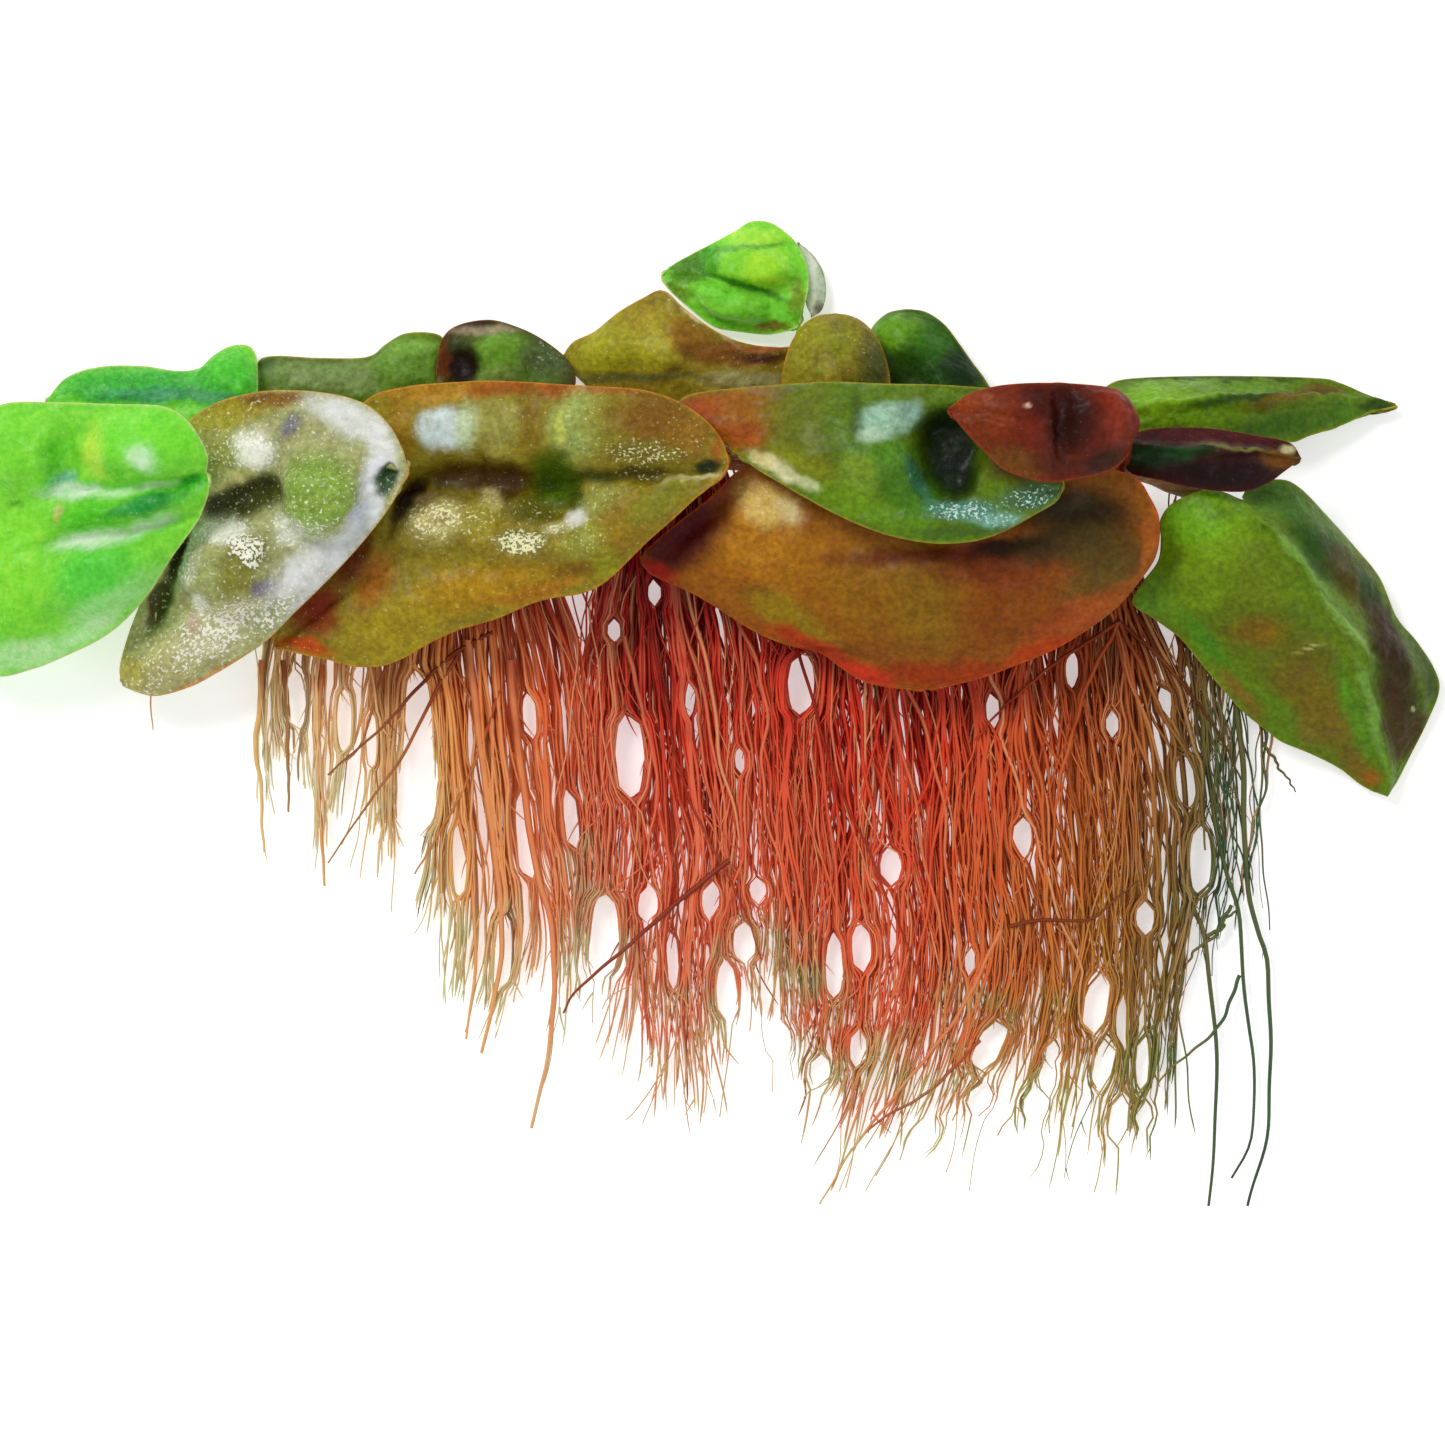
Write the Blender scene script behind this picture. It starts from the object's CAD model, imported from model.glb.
"""A red root floater, a small floating plant with pouched leaves, laid on its side.

Plans are drawn on a sheet seen from straight above: u runs to the right and v downwards
in steps of 0.04 mm, and heights are millimetres above the surface. Every mesh is made in
metres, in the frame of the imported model.
"""

import logging
import math
from dataclasses import dataclass
from enum import Enum

import bpy
import numpy as np
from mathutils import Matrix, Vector, noise


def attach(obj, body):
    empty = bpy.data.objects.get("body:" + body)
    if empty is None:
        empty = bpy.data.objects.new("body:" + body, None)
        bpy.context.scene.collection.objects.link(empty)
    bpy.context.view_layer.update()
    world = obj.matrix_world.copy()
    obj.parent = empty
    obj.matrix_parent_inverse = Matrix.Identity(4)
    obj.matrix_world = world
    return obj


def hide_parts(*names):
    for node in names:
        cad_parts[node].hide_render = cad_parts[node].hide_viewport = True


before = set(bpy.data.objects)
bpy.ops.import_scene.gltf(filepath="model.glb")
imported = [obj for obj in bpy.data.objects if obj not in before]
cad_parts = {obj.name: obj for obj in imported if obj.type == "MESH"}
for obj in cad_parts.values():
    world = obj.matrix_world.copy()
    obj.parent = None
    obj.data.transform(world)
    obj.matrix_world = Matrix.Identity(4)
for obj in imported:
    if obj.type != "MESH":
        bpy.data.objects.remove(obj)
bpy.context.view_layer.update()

# Without a seed, Blender's noise would give every run other leaves
noise.seed_set(7)

log = logging.getLogger("red_root_floater")

MM = 0.001

# The drawing sheet: the length of one step, and the steps from its corner to the origin
SHEET_STEP_MM = 0.04
SHEET_ORIGIN_U = 682.5
SHEET_ORIGIN_V = 716.0


class Pouch(Enum):
    """How steeply a swelling rises from the blade around it."""

    SOFT = 1.0
    FULL = 1.7
    CRISP = 3.0


@dataclass(frozen=True)
class Swelling:
    """A raised or sunken oval of a blade, placed on the sheet."""

    u: float
    v: float
    half_length: float
    half_width: float
    turn: float
    height: float
    pouch: Pouch = Pouch.FULL


@dataclass(frozen=True)
class Stain:
    """An oval of a blade with a colour of its own, placed on the sheet."""

    u: float
    v: float
    half_length: float
    half_width: float
    turn: float
    colour: str
    strength: float = 1.0
    bloom: float = 0.0
    edge: float = 1.6


def linear(colour: str) -> tuple[float, float, float, float]:
    """Return a hex sRGB colour as linear red, green, blue and alpha.

    Args:
        colour: Six hex digits with a leading #.

    Returns:
        The four linear channels, alpha 1.
    """
    channels = []
    for start in (1, 3, 5):
        value = int(colour[start : start + 2], 16) / 255
        if value <= 0.04045:
            channels.append(value / 12.92)
        else:
            channels.append(((value + 0.055) / 1.055) ** 2.4)
    return (channels[0], channels[1], channels[2], 1.0)


def add_node(
    tree: bpy.types.NodeTree,
    kind: str,
    inputs: dict | None = None,
    settings: dict | None = None,
) -> bpy.types.Node:
    """Add a node to a tree with its settings and links.

    Args:
        tree: The tree that the node goes in.
        kind: Blender's name for the node type.
        inputs: A value or an output socket for each input, by its name or number.
        settings: A value for each property of the node.

    Returns:
        The new node.
    """
    node = tree.nodes.new(kind)
    for name, value in (settings or {}).items():
        setattr(node, name, value)
    for name, value in (inputs or {}).items():
        if isinstance(value, bpy.types.NodeSocket):
            tree.links.new(value, node.inputs[name])
        else:
            node.inputs[name].default_value = value
    return node


def on_sheet(u: float, v: float, height: float) -> np.ndarray:
    """Return a point of the sheet in millimetres of the model's frame."""
    return np.array([(u - SHEET_ORIGIN_U) * SHEET_STEP_MM, (SHEET_ORIGIN_V - v) * SHEET_STEP_MM, height])


def smooth_line(points: np.ndarray, count: int) -> np.ndarray:
    """Return evenly spaced points along a smooth curve.

    Args:
        points: The points that the curve passes through, one a row.
        count: How many equal steps to divide the curve's length into.

    Returns:
        An array of count + 1 points.
    """
    knots = np.vstack([2 * points[0] - points[1], points, 2 * points[-1] - points[-2]])
    share = np.linspace(0, 1, 17)[1:, None]
    pieces = [points[:1]]
    for a, b, c, d in zip(knots, knots[1:], knots[2:], knots[3:]):
        curve = 2 * b + (c - a) * share
        curve = curve + (2 * a - 5 * b + 4 * c - d) * share**2
        curve = curve + (3 * b - a - 3 * c + d) * share**3
        pieces.append(curve / 2)
    dense = np.vstack(pieces)
    steps = np.linalg.norm(np.diff(dense, axis=0), axis=1)
    lengths = np.concatenate([[0.0], np.cumsum(steps)])
    wanted = np.linspace(0, lengths[-1], count + 1)
    return np.stack([np.interp(wanted, lengths, dense[:, k]) for k in range(3)], axis=1)


def oval_distance(places: np.ndarray, spot: Swelling | Stain) -> np.ndarray:
    """Return how far places lie from an oval's centre, squared, with its edge at 1.

    Args:
        places: Sheet positions, one a row.
        spot: The oval.

    Returns:
        One number for each place.
    """
    angle = math.radians(spot.turn)
    du = places[:, 0] - spot.u
    dv = places[:, 1] - spot.v
    along = (du * math.cos(angle) - dv * math.sin(angle)) / spot.half_length
    across = (du * math.sin(angle) + dv * math.cos(angle)) / spot.half_width
    return along**2 + across**2


def waver(places: np.ndarray, size: float, reach: float, layer: float) -> np.ndarray:
    """Return smooth random offsets for sheet positions.

    Args:
        places: Sheet positions, one a row.
        size: The size of the waves on the sheet.
        reach: How large the offsets are.
        layer: A number that picks one pattern out of many.

    Returns:
        An offset in u and v, and a third number, for each place.
    """
    offsets = [noise.noise_vector(Vector((u / size, v / size, layer))) for u, v in places]
    return np.array(offsets) * reach


def add_piece(name: str, mesh: bpy.types.Mesh) -> bpy.types.Object:
    """Add a mesh to the scene as an object at the origin.

    Args:
        name: The object's name.
        mesh: Its mesh.

    Returns:
        The new object.
    """
    piece = bpy.data.objects.new(name, mesh)
    bpy.context.scene.collection.objects.link(piece)
    return piece


def declare(piece: bpy.types.Object, node: str) -> None:
    """Tell the frame what a piece rides on, which CAD node it stands for.

    Args:
        piece: The finished piece.
        node: The CAD node.
    """
    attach(piece, "root")
    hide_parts(node)
    bpy.context.view_layer.update()
    log.info("%s: %d faces", piece.name, len(piece.data.polygons))


def tube(path: np.ndarray, radii: np.ndarray, sides: int) -> tuple[np.ndarray, list]:
    """Return vertices and faces of a closed round tube.

    Args:
        path: The points of its centreline, one a row.
        radii: Its radius at each point.
        sides: How many sides it has.

    Returns:
        The vertices as an array and the faces as tuples of their numbers.
    """
    vertices = []
    faces = []
    side = Vector((0.1, 0.2, 1.0))
    for i, centre in enumerate(path):
        along = Vector(path[min(i + 1, len(path) - 1)] - path[max(i - 1, 0)]).normalized()
        side = (side - along * side.dot(along)).normalized()
        other = along.cross(side)
        for k in range(sides):
            angle = 2 * math.pi * k / sides
            offset = side * math.cos(angle) + other * math.sin(angle)
            vertices.append(centre + np.array(offset) * radii[i])
    for i in range(len(path) - 1):
        for k in range(sides):
            a = i * sides + k
            b = i * sides + (k + 1) % sides
            faces.append((a, b, b + sides, a + sides))
    last = (len(path) - 1) * sides
    faces.append(tuple(reversed(range(sides))))
    faces.append(tuple(range(last, last + sides)))
    return np.array(vertices), faces


# Finishes


@dataclass(frozen=True)
class LeafFinish:
    """Living leaf blade of the floater, waxy and finely papillose.

    The minute papillae give a satiny skin with small bright points, the tissue below is
    mottled at the size of its air spaces, and a thin line of another colour runs along
    the margin.
    """

    slot: str
    body: str
    rim: str
    shade: str
    spark: str = "#F6F7D2"
    roughness: float = 0.34
    coat: float = 0.35
    sparkle: float = 0.1

    def build(self) -> bpy.types.Material:
        """Build the leaf material.

        Returns:
            The material, which reads the blade's tint, bloom and rim attributes.
        """
        material = bpy.data.materials.new(self.slot)
        material.use_nodes = True
        tree = material.node_tree
        shader = tree.nodes["Principled BSDF"]
        place = add_node(tree, "ShaderNodeTexCoord").outputs["Object"]
        tint = add_node(tree, "ShaderNodeAttribute", settings={"attribute_name": "tint"})
        bloom = add_node(tree, "ShaderNodeAttribute", settings={"attribute_name": "bloom"})
        rim = add_node(tree, "ShaderNodeAttribute", settings={"attribute_name": "rim"})
        # Mottling from the air spaces, which are 0.5 to 1 mm across
        mottle = add_node(
            tree,
            "ShaderNodeTexNoise",
            {"Vector": place, "Scale": 1300.0, "Detail": 5.0, "Roughness": 0.6},
        )
        mottle_range = add_node(
            tree,
            "ShaderNodeMapRange",
            {"Value": mottle.outputs["Fac"], "From Min": 0.35, "From Max": 0.7, "To Max": 0.45},
        )
        mottled = add_node(
            tree,
            "ShaderNodeMix",
            {0: mottle_range.outputs["Result"], 6: tint.outputs["Color"], 7: linear(self.shade)},
            {"data_type": "RGBA", "blend_type": "MULTIPLY"},
        )
        # Bright points of the papillae: 0.03 mm in life, drawn 0.12 mm so that they show
        points = add_node(tree, "ShaderNodeTexNoise", {"Vector": place, "Scale": 7500.0, "Detail": 3.0})
        crowd = add_node(
            tree,
            "ShaderNodeMath",
            {0: bloom.outputs["Fac"], 1: 0.15},
            {"operation": "MULTIPLY"},
        )
        threshold = add_node(
            tree,
            "ShaderNodeMath",
            {0: 0.69, 1: crowd.outputs[0]},
            {"operation": "SUBTRACT"},
        )
        raised = add_node(
            tree,
            "ShaderNodeMath",
            {0: points.outputs["Fac"], 1: threshold.outputs[0]},
            {"operation": "SUBTRACT"},
        )
        spark = add_node(
            tree,
            "ShaderNodeMapRange",
            {"Value": raised.outputs[0], "From Min": 0.0, "From Max": 0.09, "To Max": 1.1},
        )
        spark_here = add_node(
            tree,
            "ShaderNodeMath",
            {0: spark.outputs["Result"], 1: bloom.outputs["Fac"]},
            {"operation": "MULTIPLY", "use_clamp": True},
        )
        sparkled = add_node(
            tree,
            "ShaderNodeMix",
            {0: spark_here.outputs[0], 6: mottled.outputs[2], 7: linear(self.spark)},
            {"data_type": "RGBA"},
        )
        coloured = add_node(
            tree,
            "ShaderNodeMix",
            {0: rim.outputs["Fac"], 6: sparkled.outputs[2], 7: linear(self.rim)},
            {"data_type": "RGBA"},
        )
        # Cells of the skin, 0.05 mm in life and drawn 0.2 mm
        grain = add_node(tree, "ShaderNodeTexNoise", {"Vector": place, "Scale": 4600.0, "Detail": 4.0})
        grain_range = add_node(
            tree,
            "ShaderNodeMapRange",
            {"Value": grain.outputs["Fac"], "From Min": 0.34, "From Max": 0.66, "To Min": 0.1, "To Max": 0.9},
        )
        grained = add_node(
            tree,
            "ShaderNodeMix",
            {0: 0.26, 6: coloured.outputs[2], 7: grain_range.outputs["Result"]},
            {"data_type": "RGBA", "blend_type": "OVERLAY"},
        )
        # Papillae and the weak net of veins as relief
        papillae = add_node(
            tree,
            "ShaderNodeTexVoronoi",
            {"Vector": place, "Scale": 5200.0},
            {"feature": "SMOOTH_F1"},
        )
        first_bump = add_node(
            tree,
            "ShaderNodeBump",
            {"Height": papillae.outputs["Distance"], "Strength": 0.22, "Distance": 0.00006},
        )
        second_bump = add_node(
            tree,
            "ShaderNodeBump",
            {
                "Height": mottle.outputs["Fac"],
                "Strength": 0.45,
                "Distance": 0.0003,
                "Normal": first_bump.outputs["Normal"],
            },
        )
        rough = add_node(
            tree,
            "ShaderNodeMapRange",
            {
                "Value": mottle.outputs["Fac"],
                "From Min": 0.3,
                "From Max": 0.7,
                "To Min": self.roughness - 0.1,
                "To Max": self.roughness + 0.14,
            },
        )
        tree.links.new(grained.outputs[2], shader.inputs["Base Color"])
        tree.links.new(rough.outputs["Result"], shader.inputs["Roughness"])
        tree.links.new(second_bump.outputs["Normal"], shader.inputs["Normal"])
        shader.inputs["IOR"].default_value = 1.42
        shader.inputs["Coat Weight"].default_value = self.coat
        shader.inputs["Coat Roughness"].default_value = 0.25
        shader.inputs["Specular IOR Level"].default_value = 0.2
        shader.inputs["Subsurface Weight"].default_value = 0.08
        shader.inputs["Subsurface Radius"].default_value = (0.5, 0.9, 0.2)
        shader.inputs["Subsurface Scale"].default_value = 0.0005
        return material


LIME = LeafFinish("lime_leaf", "#86E23C", "#E6E79A", "#8FE060", "#F4FBE0", 0.36, 0.1, 0.25)
SILVER_GREEN = LeafFinish("silver_green_leaf", "#B4B678", "#D9A24A", "#B9B690", "#FFFCEB", 0.38, 0.1, 0.55)
OLIVE = LeafFinish("olive_leaf", "#9A8A20", "#D98A2A", "#B79A60", "#F6F2BE", 0.44, 0.06, 0.3)
AMBER = LeafFinish("amber_leaf", "#9A5A0E", "#D0561C", "#B88A60", "#F4E2A8", 0.46, 0.05, 0.05)
GREEN = LeafFinish("green_leaf", "#64880F", "#B7A03A", "#BCA04C", "#D2F0E6", 0.42, 0.08, 0.05)
RUSSET = LeafFinish("russet_leaf", "#7A2408", "#A23C14", "#A07868", "#E8D8C0", 0.48, 0.06)
MAROON = LeafFinish("maroon_leaf", "#3A0E0A", "#7A3A18", "#A08070", "#D8D0B8", 0.48, 0.06)
MEMBRANE = LeafFinish("membrane", "#CFDCC0", "#6B6A4C", "#D8DCC8", "#FFFFFF", 0.36, 0.2)


# Leaves


@dataclass(frozen=True)
class Leaf:
    """A blade with its petiole, lofted from its right margin over the midrib to its left.

    The outline points are u, v and height. Left and right are as one looks from the base
    to the tip, seen from above.
    """

    node: str
    finish: LeafFinish
    base: tuple
    tip: tuple
    midrib: tuple
    left: tuple
    right: tuple
    petiole: tuple = ()
    swellings: tuple = ()
    stains: tuple = ()
    rows: int = 96
    columns: int = 72
    thickness: float = 0.22
    rim_width: float = 0.13
    groove_depth: float = 0.12
    groove_width: float = 0.22
    vein_count: int = 15
    vein_height: float = 0.02
    petiole_radius: float = 0.26

    def line(self, points: tuple) -> np.ndarray:
        """Return the evenly spaced line from the base through some points to the tip."""
        through = [on_sheet(*point) for point in (self.base, *points, self.tip)]
        return smooth_line(np.array(through), self.rows)

    def grid(self) -> tuple[np.ndarray, np.ndarray, np.ndarray]:
        """Lay out the blade before it swells.

        Returns:
            The points with the base first and the tip last, where each lies from 0 at
            the base to 1 at the tip, and from -1 on the right margin to 1 on the left.
        """
        left = self.line(self.left)
        rib = self.line(self.midrib)
        right = self.line(self.right)
        even = np.linspace(-1, 1, self.columns + 1)
        across = 0.6 * even + 0.4 * np.sin(even * math.pi / 2)
        points = [rib[:1]]
        for row in range(1, self.rows):
            to_left = np.clip(across, 0, 1)[:, None]
            to_right = np.clip(-across, 0, 1)[:, None]
            span = to_left * (left[row] - rib[row]) + to_right * (right[row] - rib[row])
            points.append(rib[row] + span)
        points.append(rib[-1:])
        share = np.repeat(np.arange(1, self.rows) / self.rows, self.columns + 1)
        along = np.concatenate([[0.0], share, [1.0]])
        sideways = np.concatenate([[0.0], np.tile(across, self.rows - 1), [0.0]])
        return np.vstack(points), along, sideways

    def faces(self) -> list:
        """Return the triangles and quads that join the points of the grid."""
        wide = self.columns + 1
        tip = 1 + (self.rows - 1) * wide
        last = tip - wide
        faces = []
        for column in range(self.columns):
            faces.append((0, 1 + column, 2 + column))
            faces.append((tip, last + column + 1, last + column))
            for row in range(self.rows - 2):
                a = 1 + row * wide + column
                faces.append((a, a + wide, a + wide + 1, a + 1))
        return faces

    def outline(self) -> list:
        """Walk round the margin.

        Returns:
            The numbers of the grid's points there, in order.
        """
        wide = self.columns + 1
        rights = [1 + row * wide for row in range(self.rows - 1)]
        lefts = [number + self.columns for number in rights]
        tip = 1 + (self.rows - 1) * wide
        return [0, *rights, tip, *reversed(lefts)]

    def shape(self) -> tuple[np.ndarray, np.ndarray, np.ndarray, np.ndarray]:
        """Swell the blade.

        Returns:
            The upper face's points, its normals, how near each is to the margin from 0 to
            1, and the places on the sheet that its stains go by.
        """
        flat, along, sideways = self.grid()
        tilt = np.cross(flat[-1] - flat[0], self.line(self.left)[self.rows // 2] - flat[0])
        outward = tilt / np.linalg.norm(tilt)
        if outward[2] < 0:
            outward = -outward
        places = np.stack(
            [flat[:, 0] / SHEET_STEP_MM + SHEET_ORIGIN_U, SHEET_ORIGIN_V - flat[:, 1] / SHEET_STEP_MM],
            axis=1,
        )
        wandering = places + waver(places, 26.0, 5.0, self.rows * 0.37)[:, :2]
        wandering += waver(places, 8.0, 2.6, 5.9)[:, :2]
        height = np.zeros(len(flat))
        for swelling in self.swellings:
            distance = oval_distance(wandering, swelling)
            height += swelling.height * np.exp(-(distance**swelling.pouch.value))
        widths = self.half_widths(sideways)
        from_rib = np.abs(sideways) * widths
        height -= self.groove_depth * np.exp(-((from_rib / self.groove_width) ** 2))
        veins = np.cos((along * self.vein_count + 2.5 * sideways**2) * 2 * math.pi)
        height += self.vein_height * veins * np.abs(sideways)
        height += waver(places, 17.0, 0.10, 3.1)[:, 2] + waver(places, 6.0, 0.035, 7.7)[:, 2]
        height *= 1 - sideways**8
        points = flat + outward * height[:, None]
        margin = np.clip(1 - (1 - np.abs(sideways)) * widths / self.rim_width, 0, 1)
        return points, self.normals(points), margin, wandering

    def half_widths(self, sideways: np.ndarray) -> np.ndarray:
        """Measure how far each point's own margin is from the midrib.

        Args:
            sideways: Where each point lies between the margins.

        Returns:
            A length in millimetres for each point.
        """
        left = self.line(self.left)
        rib = self.line(self.midrib)
        right = self.line(self.right)
        wide = self.columns + 1
        rows = np.concatenate([[0], np.repeat(np.arange(1, self.rows), wide), [self.rows]])
        to_left = np.linalg.norm(left - rib, axis=1)[rows]
        to_right = np.linalg.norm(right - rib, axis=1)[rows]
        return np.where(sideways > 0, to_left, to_right)

    def normals(self, points: np.ndarray) -> np.ndarray:
        """Average the directions of the faces round each point.

        Args:
            points: The upper face's points.

        Returns:
            The unit normals, which look up on the whole.
        """
        total = np.zeros_like(points)
        for face in self.faces():
            first, second, third = points[face[0]], points[face[1]], points[face[-1]]
            direction = np.cross(second - first, third - first)
            for number in face:
                total[number] += direction
        lengths = np.maximum(np.linalg.norm(total, axis=1, keepdims=True), 1e-9)
        normals = total / lengths
        if normals[:, 2].mean() < 0:
            normals = -normals
        return normals

    def colours(self, wandering: np.ndarray, sideways: np.ndarray) -> tuple[np.ndarray, np.ndarray]:
        """Stain the blade.

        Args:
            wandering: The places on the sheet that the stains go by.
            sideways: Where each point lies between the margins.

        Returns:
            The linear colour of each point, and how thickly bright points cover it.
        """
        tint = np.tile(np.array(linear(self.finish.body)), (len(wandering), 1))
        bloom = np.zeros(len(wandering))
        for stain in self.stains:
            distance = oval_distance(wandering, stain)
            cover = stain.strength * np.exp(-(distance ** (1.35 * stain.edge)))
            tint += (np.array(linear(stain.colour)) - tint) * cover[:, None]
            bloom += (stain.bloom - bloom) * cover
        return tint, bloom + self.finish.sparkle

    def stalk(self, points: np.ndarray, normals: np.ndarray) -> tuple[np.ndarray, list]:
        """Sweep the petiole from inside the stem into the blade's base.

        Args:
            points: The upper face's points.
            normals: Its normals.

        Returns:
            The petiole's vertices and faces.
        """
        seat = points[0] * 0.4 + points[1 + self.columns // 2] * 0.6 - normals[0] * self.thickness / 2
        path = [on_sheet(*point) for point in self.petiole]
        stem = smooth_line(np.array([on_sheet(*point) for point in Stem.path]), 60)
        nearest = stem[np.argmin(np.linalg.norm(stem - path[0], axis=1))]
        path = smooth_line(np.array([nearest * 0.7 + path[0] * 0.3, *path, seat]), 16)
        radii = np.linspace(self.petiole_radius, 0.55 * self.petiole_radius, len(path))
        radii[-1] = 0.05
        return tube(path, radii, 10)

    def build(self) -> bpy.types.Object:
        """Build the leaf as one closed blade and its petiole.

        Returns:
            The finished piece.
        """
        upper, normals, margin, wandering = self.shape()
        sideways = self.grid()[2]
        thickness = self.thickness * (1 - 0.72 * margin**2)
        lower = upper - normals * thickness[:, None]
        tint, bloom = self.colours(wandering, sideways)
        count = len(upper)
        faces = self.faces()
        first = faces[0]
        turned = np.cross(upper[first[1]] - upper[first[0]], upper[first[2]] - upper[first[0]])
        if np.dot(turned, normals[first[1]]) < 0:
            faces = [tuple(reversed(face)) for face in faces]
        ring = self.outline()
        sides = []
        for a, b in zip(ring, [*ring[1:], ring[0]]):
            sides.append((a, b, b + count, a + count))
        directed = set()
        for face in faces:
            directed.update(zip(face, [*face[1:], face[0]]))
        if (ring[1], ring[2]) in directed:
            sides = [tuple(reversed(side)) for side in sides]
        under = [tuple(number + count for number in reversed(face)) for face in faces]
        vertices = np.vstack([upper, lower])
        everything = [*faces, *under, *sides]
        if self.petiole:
            stalk_vertices, stalk_faces = self.stalk(upper, normals)
            start = len(vertices)
            everything += [tuple(number + start for number in face) for face in stalk_faces]
            vertices = np.vstack([vertices, stalk_vertices])
        mesh = bpy.data.meshes.new(self.node)
        mesh.from_pydata((vertices * MM).tolist(), [], everything)
        extra = len(vertices) - 2 * count
        stalk_tint = np.tile(tint[0], (extra, 1))
        self.paint(mesh, np.vstack([tint, tint, stalk_tint]), bloom, 0.7 * margin**2, extra)
        mesh.materials.append(FINISHES.material(self.finish))
        mesh.shade_smooth()
        mesh.validate()
        piece = add_piece(self.node + ".blade", mesh)
        declare(piece, self.node)
        return piece

    def paint(
        self,
        mesh: bpy.types.Mesh,
        tint: np.ndarray,
        bloom: np.ndarray,
        margin: np.ndarray,
        extra: int,
    ) -> None:
        """Store the attributes that the material reads.

        Args:
            mesh: The leaf's mesh.
            tint: The linear colour of each vertex.
            bloom: The cover of bright points on one face of the blade.
            margin: How strongly the margin colours the points of one face.
            extra: How many vertices the petiole has.
        """
        colour = mesh.attributes.new("tint", "FLOAT_COLOR", "POINT")
        colour.data.foreach_set("color", tint.astype(np.float32).ravel())
        none = np.zeros(extra)
        for name, values in (("bloom", bloom), ("rim", margin)):
            attribute = mesh.attributes.new(name, "FLOAT", "POINT")
            attribute.data.foreach_set("value", np.concatenate([values, values, none]).astype(np.float32))


class FinishShelf:
    """The materials made so far, so that pieces of one finish share one."""

    def __init__(self) -> None:
        """Start with an empty shelf."""
        self.made: dict[str, bpy.types.Material] = {}

    def material(self, finish: "LeafFinish | RootFinish") -> bpy.types.Material:
        """Fetch a finish's material, built the first time it is asked for.

        Args:
            finish: The finish.

        Returns:
            Its material.
        """
        if finish.slot not in self.made:
            self.made[finish.slot] = finish.build()
        return self.made[finish.slot]


FINISHES = FinishShelf()


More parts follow.
